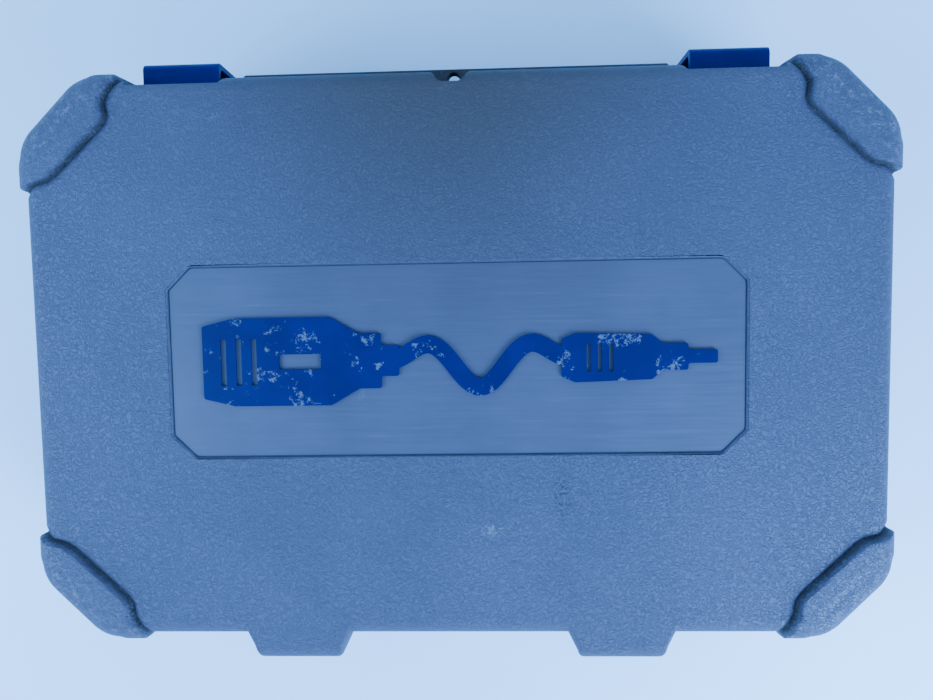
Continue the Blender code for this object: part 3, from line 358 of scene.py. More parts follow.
def smooth_plastic(name, colour, roughness, wear=0.15, grain=900.0, pale=None, gloss=0.4):
    """Moulded plastic with faint mottling, a fine texture and small scuffs."""
    shader = Shader(name, roughness)
    broad = shader.noise(60.0, 3.0)
    tone = shader.mix(shader.span(broad, 0.35, 0.65), tuple(c * 0.9 for c in colour),
                      tuple(min(1.0, c * 1.1) for c in colour))
    scuffs = shader.math("MULTIPLY", shader.span(shader.noise(30.0, 5.0, 0.7), 0.58, 0.72),
                         shader.span(shader.noise(700.0, 3.0, 0.7), 0.52, 0.66, 0.0, wear))
    shader.colour(shader.mix(scuffs, tone, pale or tuple(min(1.0, c * 2.2 + 0.08) for c in colour)))
    shader.roughness(shader.span(broad, 0.3, 0.7, roughness * 0.9, min(1.0, roughness * 1.12)))
    shader.sheen_off(gloss)
    shader.bump(shader.noise(grain, 3.0, 0.6), 0.00003, 0.6)
    return shader.material


def worn_paint():
    """Blue paint on the raised emblem, chipped at small patches down to the grey plastic."""
    shader = Shader("emblem_worn_paint", 0.40)
    blue = shader.mix(shader.span(shader.noise(45.0, 3.0), 0.35, 0.65), (0.0009, 0.0046, 0.056),
                      (0.0013, 0.0062, 0.070))
    chips = shader.math("MULTIPLY", shader.span(shader.noise(75.0, 5.0, 0.72), 0.575, 0.615),
                        shader.span(shader.noise(620.0, 4.0, 0.75), 0.46, 0.53))
    streaks = shader.span(shader.noise(210.0, 6.0, 0.8, 1.4), 0.675, 0.695)
    shader.sheen_off(0.15)
    bare = shader.math("MAXIMUM", chips, streaks)
    shader.colour(shader.mix(bare, blue, (0.12, 0.11, 0.14)))
    shader.roughness(shader.span(bare, 0.0, 1.0, 0.38, 0.60))
    shader.bump(shader.math("SUBTRACT", shader.math("MULTIPLY", shader.noise(800.0, 3.0), 0.3), bare),
                0.00006, 0.7)
    return shader.material


def metal(name, colour, roughness=0.28, stretch=(1.0, 1.0, 1.0)):
    """Machined metal with fine tool marks across the stretched direction."""
    shader = Shader(name, roughness, 1.0)
    mapping = shader.node("ShaderNodeMapping")
    mapping.inputs["Scale"].default_value = stretch
    shader.join(shader.place, mapping.inputs["Vector"])
    marks = shader.noise(1400.0, 3.0, 0.6, 0.0, mapping.outputs["Vector"])
    shader.colour(shader.mix(shader.span(marks, 0.3, 0.7), tuple(c * 0.86 for c in colour), colour))
    shader.roughness(shader.span(marks, 0.3, 0.7, roughness * 0.8, roughness * 1.3))
    shader.bump(marks, 0.00001, 0.5)
    return shader.material


def gritty(name, colour, scale, depth):
    """Grinding grit, sanding paper, felt and the like."""
    shader = Shader(name, 0.92)
    grains = shader.cells(scale)
    shader.colour(shader.mix(shader.span(grains, 0.1, 0.7), tuple(min(1.0, c * 1.35) for c in colour),
                             tuple(c * 0.6 for c in colour)))
    shader.bump(grains, depth, 0.9)
    return shader.material


GRAINED = case_plastic()
PANEL = panel_plastic()
# Painted shade: the narrow groove round the sunk panel takes a darker copy of the case grey, 0.75 of it,
# for the shade in the groove.
GROOVE_SHADED = smooth_plastic("panel_groove_shaded", tuple(0.75 * c for c in CASE_GREY), 0.6, 0.05)
LATCH_BLUE = smooth_plastic("latch_blue", (0.0008, 0.0050, 0.090), 0.28, 0.20, 1200.0,
                            (0.02, 0.03, 0.10), 0.12)
EMBLEM = worn_paint()
STEEL = metal("steel_turned", (0.66, 0.66, 0.67), 0.26, (1.0, 0.08, 0.08))
TRAY = smooth_plastic("tray_black", (0.022, 0.023, 0.026), 0.45, 0.08, 700.0)
FROSTED = smooth_plastic("box_frosted", (0.80, 0.84, 0.88), 0.22, 0.10, 500.0)
FROSTED.node_tree.nodes["Principled BSDF"].inputs["Transmission Weight"].default_value = 0.85
TOOL_GREY = smooth_plastic("tool_grey", (0.075, 0.083, 0.092), 0.48, 0.12, 1600.0)
CONTROL_BLUE = smooth_plastic("control_blue", (0.004, 0.055, 0.25), 0.36, 0.10)
RUBBER = smooth_plastic("soft_rubber", (0.014, 0.014, 0.015), 0.68, 0.10, 1300.0, (0.10, 0.10, 0.10))
IRON = metal("laminated_iron", (0.26, 0.25, 0.25), 0.42, (14.0, 0.1, 0.1))
COPPER = metal("copper_turned", (0.80, 0.42, 0.25), 0.24)
CARBON = gritty("carbon_pressed", (0.035, 0.035, 0.037), 3500.0, 0.00003)
STONE = gritty("grinding_grit", (0.42, 0.20, 0.15), 2600.0, 0.00015)
ABRASIVE = gritty("abrasive_grit", (0.24, 0.11, 0.06), 4200.0, 0.00012)
FELT = gritty("felt_fibres", (0.62, 0.60, 0.54), 1800.0, 0.00025)
SLOT_FINISH = {"case_plastic": GRAINED, "latch_plastic": LATCH_BLUE, "emblem_paint": EMBLEM,
               "tray_plastic": TRAY, "box_plastic": FROSTED, "tool_plastic": TOOL_GREY,
               "control_plastic": CONTROL_BLUE, "soft_rubber": RUBBER, "steel": STEEL,
               "laminated_iron": IRON, "copper": COPPER, "carbon": CARBON, "grinding_grit": STONE,
               "abrasive_paper": ABRASIVE, "felt": FELT}


def crisp(obj):
    """Smooth shading between true edges, and small rounded edges that catch the light."""
    obj.data.shade_smooth()
    obj.data.set_sharp_from_angle(angle=math.radians(32))
    bevel(obj, 0.00025, 2, 34)


def welded(obj):
    """A node's mesh in the shared frame, with split vertices joined."""
    bm = bmesh.new()
    bm.from_mesh(obj.data)
    bm.transform(obj.matrix_world)
    bmesh.ops.remove_doubles(bm, verts=bm.verts, dist=0.000005)
    return bm


def meridian(bm, axis, centre):
    """The half profile of a turned node: points (place, radius) and the edges between them."""
    order = "XYZ".index(axis)
    across = [i for i in range(3) if i != order]
    columns = {}
    for vert in bm.verts:
        offset = [vert.co[i] - c for i, c in zip(across, centre)]
        radius = math.hypot(*offset)
        turn = round(math.degrees(math.atan2(offset[1], offset[0])) * 2) if radius > ON_AXIS else None
        columns.setdefault(turn, {})[vert.index] = (vert.co[order], radius)
    poles = columns.pop(None, {})
    chosen = {**max(columns.values(), key=len), **poles}
    names = {old: new for new, old in enumerate(chosen)}
    edges = [(names[e.verts[0].index], names[e.verts[1].index]) for e in bm.edges
             if e.verts[0].index in names and e.verts[1].index in names]
    points = list(chosen.values())
    return points, [(a, b) for a, b in edges if max(points[a][1], points[b][1]) > ON_AXIS]


def spun(name, points, edges, axis, centre, steps=72):
    """Turns a half profile round its axis into a smooth solid."""
    order = "XYZ".index(axis)
    across = [i for i in range(3) if i != order]
    bm = bmesh.new()
    rows = []
    for place, radius in points:
        row = []
        for step in range(steps if radius > ON_AXIS else 1):
            angle = 2 * math.pi * step / steps
            spot = [0.0, 0.0, 0.0]
            spot[order] = place
            spot[across[0]] = centre[0] + radius * math.cos(angle)
            spot[across[1]] = centre[1] + radius * math.sin(angle)
            row.append(bm.verts.new(spot))
        rows.append(row)
    for a, b in edges:
        first, second = rows[a], rows[b]
        for step in range(steps):
            after = (step + 1) % steps
            corners = [first[step % len(first)], first[after % len(first)],
                       second[after % len(second)], second[step % len(second)]]
            unique = [v for i, v in enumerate(corners) if v not in corners[:i]]
            bm.faces.new(unique)
    for index, row in enumerate(rows):
        if len(row) > 1 and sum(index in edge for edge in edges) == 1:
            bm.faces.new(row)                                # a flat end
    return from_bmesh(name, bm, 32)


TURNED = {"X": ("tail_cap", "cord_gland", "rear_bearing", "rear_bearing_plate", "motor_shaft",
                "commutator", "armature", "stator", "drive_socket", "front_bearing", "nose_collar",
                "coupling_nut", "sheath_sleeve_tool", "drive_tip", "sheath_sleeve_handpiece",
                "handpiece_body", "handpiece_bearing_rear", "handpiece_bearing_front",
                "handpiece_spindle", "carving_burr"),
          "Y": ("grinding_stone", "sanding_drum", "polishing_wheel", "wire_wheel", "cutting_disc",
                "drill_bit", "speed_dial"),
          "Z": ("nose_cap", "collet_nut", "spindle_lock_button")}


def dress_cad_nodes():
    """Every carried-over CAD node gets its slot's finish; the turned ones are turned anew."""
    body_of = {node: body for body, nodes in frame["record"]["behaviour"]["bodies"].items()
               for node in nodes}
    axis_of = {node: axis for axis, nodes in TURNED.items() for node in nodes}
    for part in frame["record"]["subparts"]:
        name, slot = part["node"], part["material_slot"]
        obj = NODES[name]
        obj.data.materials.clear()
        obj.data.materials.append(SLOT_FINISH[slot])
        if name in axis_of:
            low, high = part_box(name)
            axis = axis_of[name]
            centre = [(low[i] + high[i]) / 2 for i in range(3) if i != "XYZ".index(axis)]
            bm = welded(obj)
            points, edges = meridian(bm, axis, centre)
            bm.free()
            piece = spun(name + "_turned", points, edges, axis, centre)
            bevel(piece, 0.0002, 2, 34)
            finish_piece(piece, body_of[name], name, SLOT_FINISH[slot])
        else:
            crisp(obj)


# ---- Case skins: rings of points that follow the outline -----------------------------------------------
def spaced(low, high, step):
    """Even places from low up to, but not with, high."""
    count = max(1, round((high - low) / step))
    return [low + (high - low) * i / count for i in range(count)]


def outline_samples():
    """Points of the seam outline, anticlockwise from +X, and their outward normals."""
    reach = CORNER_RADIUS * math.tan(math.radians(22.5))
    end_x, end_y = HALF_X - CORNER_CUT - reach, HALF_Y - CORNER_CUT - reach
    fine, coarse = 0.0010, 0.0030
    side = spaced(0.0, 0.074, coarse) + spaced(0.074, end_y, fine)
    # Close places where the front wall's notch and recesses and the lugs' sides turn.
    marks = [0.0018, 0.0035, 0.0044, 0.0052, 0.0059, 0.0066, 0.0072, 0.0078, 0.0087, 0.0096,
             0.0980, 0.0986, 0.1030, 0.1038, 0.145, 0.1465]
    marks += [LUG_X + sign * reach_x for sign in (-1, 1) for reach_x in
              (0.0145, 0.0149, 0.0172, 0.0180, 0.0187, 0.0193, 0.0197, 0.0200, 0.0202, 0.0209,
               0.0216, 0.0223, 0.0230, 0.0238, 0.0245, 0.0252)]
    front = sorted(set(spaced(0.0, 0.138, coarse) + spaced(0.138, end_x, fine) + marks))
    front = [x for i, x in enumerate(front) if i == 0 or x - front[i - 1] > 0.00025]
    corner = []
    centre = Vector((HALF_X - CORNER_RADIUS, end_y))
    for angle in spaced(0.0, 45.0, 3.0):
        turn = math.radians(angle)
        normal = Vector((math.cos(turn), math.sin(turn)))
        corner.append((centre + normal * CORNER_RADIUS, normal))
    normal = Vector((math.sqrt(0.5), math.sqrt(0.5)))
    start = centre + normal * CORNER_RADIUS
    second = Vector((end_x, HALF_Y - CORNER_RADIUS))
    stop = second + normal * CORNER_RADIUS
    for share in spaced(0.0, 1.0, fine / (stop - start).length):
        corner.append((start.lerp(stop, share), normal))
    for angle in spaced(45.0, 90.0, 3.0):
        turn = math.radians(angle)
        normal = Vector((math.cos(turn), math.sin(turn)))
        corner.append((second + normal * CORNER_RADIUS, normal))
    quarter = [(Vector((HALF_X, y)), Vector((1.0, 0.0))) for y in side] + corner
    quarter += [(Vector((x, HALF_Y)), Vector((0.0, 1.0))) for x in reversed(front) if x > 0]
    places = quarter + [(Vector((0.0, HALF_Y)), Vector((0.0, 1.0)))]
    left = [(Vector((-p.x, p.y)), Vector((-n.x, n.y))) for p, n in reversed(quarter)]
    upper = places + left
    lower = [(Vector((p.x, -p.y)), Vector((n.x, -n.y))) for p, n in reversed(upper[1:-1])]
    ring = upper + lower
    points = np.array([tuple(p) for p, _ in ring])
    normals = np.array([tuple(n) for _, n in ring])
    return points, normals


def smooth(value):
    """Smooth step of values from 0 to 1."""
    value = np.clip(value, 0.0, 1.0)
    return value * value * (3 - 2 * value)


def bumper_distance(x, y):
    """Signed distance into the nearest corner bumper, in plan. The front ones' inner ends lean out."""
    foot = np.array([(0.230, 0.1135), (0.1940, 0.0782), (0.1895, 0.0815), (0.1828, 0.0832),
                     (0.1790, 0.0858), (0.1553, 0.1085), (0.1530, 0.1120), (0.1520, 0.1185),
                     (0.1478, 0.1260), (0.1460, 0.1300), (0.1785, 0.160)])
    px, py = np.abs(x) - FRONT_LEAN * smooth((y - 0.1070) / 0.0110), np.abs(y)
    nearest = np.full(px.shape, 1.0)
    for a, b in zip(foot, foot[1:]):
        along = b - a
        share = np.clip(((px - a[0]) * along[0] + (py - a[1]) * along[1]) / (along @ along), 0, 1)
        gap = np.hypot(px - a[0] - share * along[0], py - a[1] - share * along[1])
        nearest = np.minimum(nearest, gap)
    inside = np.zeros(px.shape, bool)
    loop = np.vstack([foot, (0.230, 0.160)])
    for a, b in zip(loop, np.roll(loop, -1, axis=0)):
        crosses = (a[1] > py) != (b[1] > py)
        with np.errstate(divide="ignore", invalid="ignore"):
            where = (b[0] - a[0]) * (py - a[1]) / (b[1] - a[1]) + a[0]
        inside ^= crosses & (px < where)
    return np.where(inside, nearest, -nearest)


def bumper_rise(distance):
    """Height of a bumper over the plain skin: a thin crease, a raised band, and a lower pad."""
    pad = PAD * smooth((distance - 0.0001) / 0.0017)
    pad -= 0.0007 * smooth((distance - 0.0085) / 0.0035)
    crease = -0.0010 * np.exp(-((distance + 0.0002) / 0.0011) ** 2)
    return pad + crease


def lug_share(x):
    """How far a lug reaches out at x, as a share of its full reach."""
    off = np.abs(np.abs(x) - LUG_X)
    start = LUG_TIP - LUG_ROUND
    turn = np.clip(off - start, 0.0, LUG_ROUND)
    reach = LUG_REACH - LUG_ROUND + np.sqrt(LUG_ROUND ** 2 - turn ** 2)
    slope = (LUG_REACH - LUG_ROUND) * (LUG_ROOT - off) / (LUG_ROOT - LUG_TIP)
    return np.clip(np.where(off > LUG_TIP, slope, reach) / LUG_REACH, 0.0, 1.0)


def front_limit(x, z):
    """How far out the lid's front wall may reach: the latch recesses and the padlock notch."""
    px = np.abs(x)
    recess = np.interp(px, [0.0981, 0.1036, 0.1462, 0.1485], [0.134, 0.1250, 0.1250, 0.134])
    notch = np.interp(px, [0.0035, 0.0052, 0.0066, 0.0078, 0.0096, 0.0110],
                      [0.1226, 0.1232, 0.1250, 0.1272, 0.1284, 0.134])
    return np.minimum(recess, np.where(z > FLANGE_TOP, notch, 0.134))


def moved_in(points, inset):
    """The panel's outline moved in evenly, sampled on the same rays from the middle."""
    half_x, half_y = PANEL_HALF_X - inset, PANEL_HALF_Y - inset
    px, py = np.abs(points[:, 0]), np.abs(points[:, 1])
    total = PANEL_HALF_X + PANEL_HALF_Y - PANEL_CUT - math.sqrt(2) * inset
    with np.errstate(divide="ignore"):
        reach = np.minimum(np.minimum(half_x / px, half_y / py), total / (px + py))
    return points * reach[:, None]


def skin_rings(points, normals):
    """The lid's skin as rings, from the panel over the face and the walls to the inside.

    A ring is a dict: x, y and z of its points, foot (1 along a bumper's foot), its finish by number,
    its zone, and for the rings under the lugs how deep they lie and how high they rise."""
    count = len(points)
    panel = moved_in(points, 0.0)
    rings = []

    def add(plan, z, rise_side=0.0, rise_up=0.0, zone="outer", finish=0, lug=None):
        """A ring: plan positions at a height, with the bumpers' rise sideways and up."""
        x, y = plan[:, 0].copy(), plan[:, 1].copy()
        z, foot = np.full(count, z), np.zeros(count)
        if rise_side or rise_up:
            distance = bumper_distance(x, y)
            rise = bumper_rise(distance)
            foot = np.clip(1 + distance / 0.010, 0.0, 2.0)
            x += normals[:, 0] * rise * rise_side
            y += normals[:, 1] * rise * rise_side
            z = z + rise * rise_up
        rings.append({"x": x, "y": y, "z": z, "foot": foot, "finish": finish, "zone": zone, "lug": lug})

    for inset, drop, finish in ((0.0030, PANEL_DEPTH, 1), (0.0008, PANEL_DEPTH, 1),
                                (0.0006, PANEL_DEPTH + 0.0004, 2), (0.0002, PANEL_DEPTH + 0.0004, 2),
                                (0.0, 0.0004, 0), (-0.0003, 0.0001, 0), (-0.0007, 0.0, 0)):
        add(moved_in(points, inset), FACE - drop, finish=finish)
    edge = points - normals * (DRAFT + EDGE_RADIUS)
    face_rings = 124
    for i in range(1, face_rings):
        share = 1 - (1 - i / face_rings) ** 1.25
        add(panel * (1 - share) + edge * share, FACE, rise_up=1.0)
    for i in range(9):
        angle = math.radians(90 * i / 8)
        inset = DRAFT + EDGE_RADIUS * (1 - math.sin(angle))
        height = FACE - EDGE_RADIUS * (1 - math.cos(angle))
        add(points - normals * inset, height, math.sin(angle), math.cos(angle))
    top, bottom = FACE - EDGE_RADIUS, SEAM + SEAM_GAP
    for z in (0.080, 0.070, 0.060, 0.0535, FLANGE_TOP, LUG_FLOOR):
        add(points - normals * DRAFT * (z - bottom) / (top - bottom), z, 1.0)
    for depth, z in ((0.0022, LUG_FLOOR), (0.0022, 0.060), (0.0110, 0.060), (0.0110, LUG_FLOOR)):
        add(points, LUG_FLOOR, 1.0, zone="under_lug", lug=(depth, z))
    add(points, bottom + 0.0004, 1.0, zone="rim")
    add(points, bottom, 0.96, zone="rim")
    for inset, z in ((WALL, bottom), (WALL + 0.0006, 0.070), (WALL + DRAFT, 0.0880),
                     (WALL + DRAFT + 0.0018, 0.0925), (WALL + DRAFT + 0.0060, FACE - WALL)):
        add(points - normals * inset, z, zone="inner")
    return rings


def lid_places(ring):
    """A ring's points on the lid, with its latch recesses, padlock notch and hinge lugs."""
    x, y, z, zone = ring["x"], ring["y"], ring["z"], ring["zone"]
    if zone == "inner":
        return x, np.minimum(y, np.where(np.abs(x) < 0.0115, 0.1206, 0.1233)), z
    y = np.minimum(y, front_limit(x, z))
    share = lug_share(x) * smooth((-0.1105 - y) / 0.0100)
    if zone == "outer":
        y = y - LUG_REACH * share
    elif zone == "under_lug":
        depth, height = ring["lug"]
        open_here = smooth((0.0150 - np.abs(np.abs(x) - LUG_X)) / 0.0004)
        y = y - (LUG_REACH - depth) * share
        z = z + (height - LUG_FLOOR) * open_here * share
    return x, y, z


def case_skin(name, lid):
    """One half of the case: face, bumpers, rounded edge, walls, rim and inside."""
    points, normals = outline_samples()
    count = len(points)
    rings = skin_rings(points, normals)
    rows = [lid_places(ring) if lid else (ring["x"], ring["y"], 2 * SEAM - ring["z"]) for ring in rings]
    vertices = np.vstack([np.stack(row, axis=1) for row in rows])
    faces, slots = [], []
    flip = not lid
    for level in range(len(rows) - 1):
        for i in range(count):
            a, b = level * count + i, level * count + (i + 1) % count
            c, d = b + count, a + count
            faces.append((a, b, c, d) if flip else (a, d, c, b))
            slots.append(rings[level]["finish"])
    for first, outward, finish in ((0, not flip, 1), ((len(rows) - 1) * count, flip, 0)):
        loop = range(first, first + count)
        faces.append(tuple(loop if outward else reversed(loop)))
        slots.append(finish)
    mesh = bpy.data.meshes.new(name)
    mesh.from_pydata(vertices.tolist(), [], faces)
    mesh.polygons.foreach_set("material_index", slots)
    foot = mesh.attributes.new("foot", "FLOAT", "POINT")
    foot.data.foreach_set("value", np.concatenate([ring["foot"] for ring in rings]))
    bm = bmesh.new()
    bm.from_mesh(mesh)
    bmesh.ops.remove_doubles(bm, verts=bm.verts, dist=0.00002)
    bmesh.ops.recalc_face_normals(bm, faces=bm.faces)
    bm.to_mesh(mesh)
    bm.free()
    obj = bpy.data.objects.new(name, mesh)
    bpy.context.scene.collection.objects.link(obj)
    for material in (GRAINED, PANEL, GROOVE_SHADED):
        mesh.materials.append(material)
    mesh.shade_smooth()
    mesh.set_sharp_from_angle(angle=math.radians(38))
    return obj


def lid_details():
    """Flange with the padlock hole, catch ridges and hinge cheeks of the lid."""
    finish_piece(case_skin("lid_skin", True), "lid", "lid_shell")
    outline = [(-0.109, 0.1275), (0.109, 0.1275), (0.109, 0.1385), (0.1055, 0.142),
               (-0.1055, 0.142), (-0.109, 0.1385)]
    flange = extruded("lid_flange", outline, SEAM + SEAM_GAP, FLANGE_TOP)
    hole(flange, (0.0, PADLOCK_Y), PADLOCK_RADIUS)
    bevel(flange, 0.0007, 3)
    finish_piece(flange, "lid", None, GRAINED)
    for side, word in ((-1, "left"), (1, "right")):
        middle = side * LATCH_X
        ridge = extruded("catch_ridge_" + word,
                         [(0.1260, 0.066), (0.1284, 0.0672), (0.1284, 0.0713), (0.1260, 0.0725)],
                         middle - 0.015, middle + 0.015, axis="X")
        bevel(ridge, 0.0004, 2)
        finish_piece(ridge, "lid", None, GRAINED)
        for end in (-1, 1):
            near = "outer" if end == side else "inner"
            span = sorted(side * LUG_X + end * reach for reach in (0.0113, 0.0170))
            cheek = extruded(f"hinge_cheek_{word}_{near}", drop_outline(0.0045, 0.054), *span, axis="X")
            bevel(cheek, 0.0004, 2)
            finish_piece(cheek, "lid", None, GRAINED)


def drop_outline(radius, top, steps=18):
    """Round eye about the hinge axis with straight sides up to top, as (y, z) points."""
    points = [(HINGE_Y + radius, top)]
    for i in range(steps + 1):
        angle = math.radians(-180 * i / steps)
        points.append((HINGE_Y + radius * math.cos(angle), HINGE_Z + radius * math.sin(angle)))
    return points + [(HINGE_Y - radius, top)]


def hole(obj, centre, radius):
    """Cuts an upright round hole through a piece."""
    bm = bmesh.new()
    bmesh.ops.create_cone(bm, cap_ends=True, segments=40, radius1=radius, radius2=radius, depth=0.08,
                          matrix=Matrix.Translation((*centre, SEAM)))
    cutter = from_bmesh(obj.name + "_cutter", bm)
    apply_boolean(obj, cutter, "DIFFERENCE")


def apply_boolean(obj, cutter, operation):
    """Cuts a piece with another, which is used up."""
    step = obj.modifiers.new("cut", "BOOLEAN")
    step.operation = operation
    step.object = cutter
    step.solver = "EXACT"
    bpy.context.view_layer.update()
    mesh = bpy.data.meshes.new_from_object(obj.evaluated_get(bpy.context.evaluated_depsgraph_get()))
    obj.modifiers.clear()
    obj.data = mesh
    bpy.data.objects.remove(cutter)


def base_details():
    """The base's padlock tab, the ears of latches and handle, and the hinge barrels."""
    finish_piece(case_skin("base_skin", False), "case", "base_shell")
    tab = extruded("padlock_tab", [(-0.0095, 0.1270), (0.0095, 0.1270), (0.0095, 0.1385),
                                   (0.0055, 0.1418), (-0.0055, 0.1418), (-0.0095, 0.1385)],
                   SEAM - SEAM_GAP - 0.003, SEAM - SEAM_GAP)
    hole(tab, (0.0, PADLOCK_Y), PADLOCK_RADIUS)
    bevel(tab, 0.0006, 3)
    finish_piece(tab, "case", None, GRAINED)
    ears = [("latch_ear", x, (0.1275, 0.1400), (0.0270, 0.0370)) for x in
            ((0.1055, 0.1095), (0.1465, 0.1505))]
    ears.append(("handle_ear", (0.069, 0.077), (0.1275, 0.1410), (0.0358, 0.0466)))
    for side, word in ((-1, "left"), (1, "right")):
        for place, (stem, xs, ys, zs) in enumerate(ears):
            span = sorted(side * x for x in xs)
            middle = sum(zs) / 2
            half = (zs[1] - zs[0]) / 2
            outline = [(ys[0], zs[0]), (ys[1] - half, zs[0])]
            outline += [(ys[1] - half + half * math.sin(a), middle - half * math.cos(a)) for a in
                        (math.radians(15 * k) for k in range(1, 12))]
            outline += [(ys[1] - half, zs[1]), (ys[0], zs[1])]
            ear = extruded(f"{stem}_{word}_{place}", outline, *span, axis="X")
            bevel(ear, 0.0006, 2)
            finish_piece(ear, "case", None, GRAINED)
        barrel = (side * LUG_X - 0.0110, side * LUG_X + 0.0110)
        outline = [(-0.1283, 0.0456), (-0.1283, 0.0496), (-0.1322, 0.0496)]
        outline += [(HINGE_Y + 0.004 * math.cos(a), HINGE_Z + 0.004 * math.sin(a)) for a in
                    (math.radians(8 + 15 * k) for k in range(19))]
        outline.append((HINGE_Y + 0.002, 0.0456))
        knuckle = extruded("hinge_barrel_" + word, outline, *barrel, axis="X")
        bevel(knuckle, 0.0004, 2)
        finish_piece(knuckle, "case", None, GRAINED)


# ---- Latches and emblem ------------------------------------------------------------------------------
def latch_covers():
    """Each latch as one bent plate with a hook at its top and an eye round its pin."""
    for word in ("left", "right"):
        low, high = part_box("latch_" + word)
        top, face, tip = high.z, high.y, low.y
        thick, pivot, eye = 0.003, (0.1355, 0.032), 0.005
        inner, outer = 0.002, 0.0032                          # radii of the bend at the top
        outline = [(tip, top), (tip, top - thick), (face - thick - inner, top - thick)]
        bend = (face - thick - inner, top - thick - inner)
        outline += [(bend[0] + inner * math.sin(a), bend[1] + inner * math.cos(a))
                    for a in (math.radians(22.5 * k) for k in range(1, 5))]
        outline.append((face - thick, pivot[1] + 0.0042))
        outline += [(pivot[0] + eye * math.cos(a), pivot[1] + eye * math.sin(a)) for a in
                    (math.radians(75 + 285 * k / 24) for k in range(25))]
        outline += [(face, pivot[1] + 0.003), (face, top - outer)]
        outline += [(face - outer + outer * math.cos(a), top - outer + outer * math.sin(a))
                    for a in (math.radians(15 * k) for k in range(1, 7))]
        cover = extruded("latch_cover_" + word, outline, low.x, high.x, axis="X")
        bevel(cover, 0.0008, 3)
        finish_piece(cover, "latch_" + word, "latch_" + word, LATCH_BLUE)


def worn_emblem():
    """The raised emblem with softened edges."""
    emblem = NODES["lid_emblem"].copy()
    emblem.data = emblem.data.copy()
    emblem.name = "emblem_relief"
    bpy.context.scene.collection.objects.link(emblem)
    bevel(emblem, 0.00035, 3)
    finish_piece(emblem, "lid", "lid_emblem", EMBLEM)


# ---- Tool housing, flexible shaft, floor, light and camera ----------------------------------------------
SKY, SKY_COLOUR = 4.0, (0.165, 0.440, 1.0, 1.0)      # strength at the horizon, and colour
EYE, EYE_TURN, LENS = (0.0169, 0.0244, FACE + 0.31314), (-3.722, 2.017, -0.977), 27.01
LAMPS = (("right_front", (0.55, -0.45, 0.50), 0.5, 24.0, (0.19, 0.45, 1.0)),
         ("left", (-0.70, -0.15, 0.55), 0.6, 14.5, (0.18, 0.45, 1.0)))


def block(name, *spans):
    """A box given by its low and high ends along X, Y and Z."""
    bm = bmesh.new()
    middle = [(low + high) / 2 for low, high in spans]
    size = [high - low for low, high in spans]
    bmesh.ops.create_cube(bm, size=1.0, matrix=Matrix.LocRotScale(middle, None, size))
    return from_bmesh(name, bm)


def rod(name, radius, middle, length, axis):
    """A round bar along an axis."""
    turn = {"X": Matrix.Rotation(math.pi / 2, 4, "Y"), "Y": Matrix.Rotation(math.pi / 2, 4, "X"),
            "Z": Matrix.Identity(4)}[axis]
    bm = bmesh.new()
    bmesh.ops.create_cone(bm, cap_ends=True, segments=48, radius1=radius, radius2=radius,
                          depth=length, matrix=Matrix.Translation(middle) @ turn)
    return from_bmesh(name, bm)


def housing():
    """Both halves of the motor housing, with their windows and vents."""
    knots = [(-0.0917, 0.0240), (-0.0600, 0.0260), (0.0050, 0.0260), (0.0300, 0.0230),
             (0.0440, 0.0200)]
    places = np.linspace(knots[0][0], knots[-1][0], 28)
    radii = np.interp(places, *zip(*knots))
    radii = np.convolve(np.pad(radii, 2, mode="edge"), np.ones(5) / 5, mode="valid")
    radii[0], radii[-1] = knots[0][1], knots[-1][1]
    points = list(zip(places, radii)) + [(p, r - HOUSING_WALL) for p, r in
                                         zip(places[::-1], radii[::-1])]
    edges = [(i, (i + 1) % len(points)) for i in range(len(points))]
    for word, low, high in (("front", TOOL_Y + SEAM_GAP, 0.2), ("rear", -0.2, TOOL_Y - SEAM_GAP)):
        half = spun("housing_" + word, points, edges, "X", (TOOL_Y, AXIS_Z), 96)
        apply_boolean(half, block("half_space", (-0.2, 0.2), (low, high), (0.0, 0.1)), "INTERSECT")
        cutters = [block("dial_window", (-0.0865, -0.0735), (TOOL_Y - 0.0033, TOOL_Y + 0.0033),
                         (0.060, 0.080)),
                   block("switch_window", (-0.0562, -0.0238), (TOOL_Y - 0.0053, TOOL_Y + 0.0053),
                         (0.060, 0.080)),
                   rod("lock_window", 0.0043, (0.0330, TOOL_Y, 0.0675), 0.025, "Z"),
                   rod("brush_window", 0.0048, (-0.0580, TOOL_Y, AXIS_Z), 0.08, "Y")]
        for place in range(5):
            x = 0.0085 + 0.0045 * place
            cutters.append(block("vent", (x, x + 0.0022), (TOOL_Y - 0.04, TOOL_Y + 0.04),
                                 (AXIS_Z - 0.0085, AXIS_Z + 0.0085)))
        for cutter in cutters:
            apply_boolean(half, cutter, "DIFFERENCE")
        half.data.shade_smooth()
        half.data.set_sharp_from_angle(angle=math.radians(35))
        bevel(half, 0.0003, 2, 35)
        finish_piece(half, "case", "housing_half_" + word, TOOL_GREY)


def smooth_route(points, steps):
    """Points on a Catmull-Rom curve through the given ones."""
    ends = [points[0]] + list(points) + [points[-1]]
    found = []
    for i in range(1, len(ends) - 2):
        a, b, c, d = (Vector(ends[i + k]) for k in (-1, 0, 1, 2))
        for step in range(steps):
            t = step / steps
            found.append(0.5 * (2 * b + (c - a) * t + (2 * a - 5 * b + 4 * c - d) * t * t
                                + (3 * b - a - 3 * c + d) * t ** 3))
    return found + [Vector(ends[-2])]


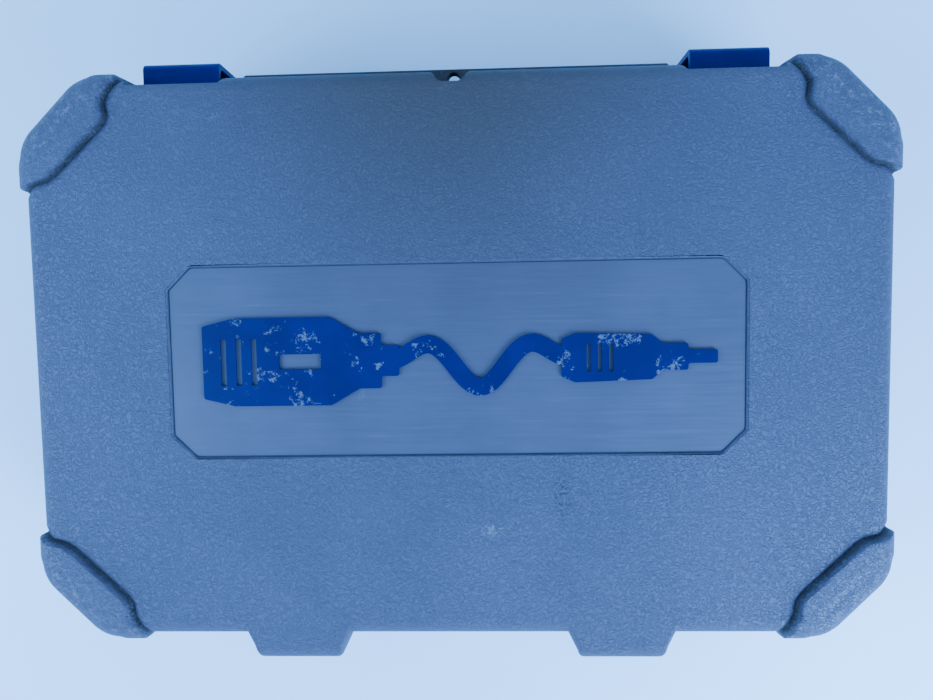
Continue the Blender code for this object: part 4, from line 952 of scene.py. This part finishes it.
def round_sheath():
    """The flexible shaft's sheath, round and smooth, along its route in the tray."""
    curve = bpy.data.curves.new("sheath_path", "CURVE")
    curve.dimensions = "3D"
    curve.bevel_depth = SHEATH_RADIUS
    curve.bevel_resolution = 8
    curve.use_fill_caps = True
    route = smooth_route(SHEATH_ROUTE, 6)
    line = curve.splines.new("POLY")
    line.points.add(len(route) - 1)
    for spot, point in zip(line.points, route):
        spot.co = (point.x, point.y, AXIS_Z, 1.0)
    guide = bpy.data.objects.new("sheath_path", curve)
    bpy.context.scene.collection.objects.link(guide)
    bpy.context.view_layer.update()
    mesh = bpy.data.meshes.new_from_object(guide.evaluated_get(bpy.context.evaluated_depsgraph_get()))
    bpy.data.objects.remove(guide)
    sheath = bpy.data.objects.new("sheath_round", mesh)
    bpy.context.scene.collection.objects.link(sheath)
    mesh.shade_smooth()
    finish_piece(sheath, "case", "flex_sheath", RUBBER)


def stage():
    """Pale floor, soft light and the camera."""
    bpy.ops.mesh.primitive_plane_add(size=6.0, location=(0.0, 0.0, 0.0))
    floor = bpy.context.object
    floor.name = "floor"
    shader = Shader("floor_pale", 0.55)
    shader.colour(shader.mix(shader.span(shader.noise(6.0, 3.0), 0.3, 0.7), (0.71, 0.85, 0.92),
                             (0.75, 0.89, 0.96)))
    floor.data.materials.append(shader.material)
    world = bpy.data.worlds.new("soft_light")
    world.use_nodes = True
    nodes, links = world.node_tree.nodes, world.node_tree.links
    split = nodes.new("ShaderNodeSeparateXYZ")
    links.new(nodes.new("ShaderNodeTexCoord").outputs["Generated"], split.inputs[0])
    band = nodes.new("ShaderNodeMapRange")
    band.interpolation_type = "SMOOTHSTEP"
    for key, number in (("From Min", 0.15), ("From Max", 1.0), ("To Min", 1.0), ("To Max", 0.30)):
        band.inputs[key].default_value = number
    links.new(split.outputs["Z"], band.inputs["Value"])
    sky = nodes["Background"]
    sky.inputs["Color"].default_value = SKY_COLOUR
    strength = nodes.new("ShaderNodeMath")
    strength.operation = "MULTIPLY"
    strength.inputs[1].default_value = SKY
    links.new(band.outputs["Result"], strength.inputs[0])
    links.new(strength.outputs[0], sky.inputs["Strength"])
    bpy.context.scene.world = world
    for name, place, size, power, colour in LAMPS:
        light = bpy.data.lights.new(name, "AREA")
        light.shape = "DISK"
        light.size = size
        light.energy = power
        light.color = colour
        lamp = bpy.data.objects.new(name, light)
        lamp.location = place
        aim = Vector((0.0, 0.0, 0.05)) - Vector(place)
        lamp.rotation_euler = aim.to_track_quat("-Z", "Y").to_euler()
        bpy.context.scene.collection.objects.link(lamp)
    camera = bpy.data.cameras.new("camera")
    camera.lens = LENS
    camera.sensor_width = 36.0
    eye = bpy.data.objects.new("camera", camera)
    eye.location = EYE
    eye.rotation_euler = [math.radians(angle) for angle in EYE_TURN]
    bpy.context.scene.collection.objects.link(eye)
    bpy.context.scene.camera = eye


stage()
dress_cad_nodes()
lid_details()
base_details()
latch_covers()
worn_emblem()
housing()
round_sheath()
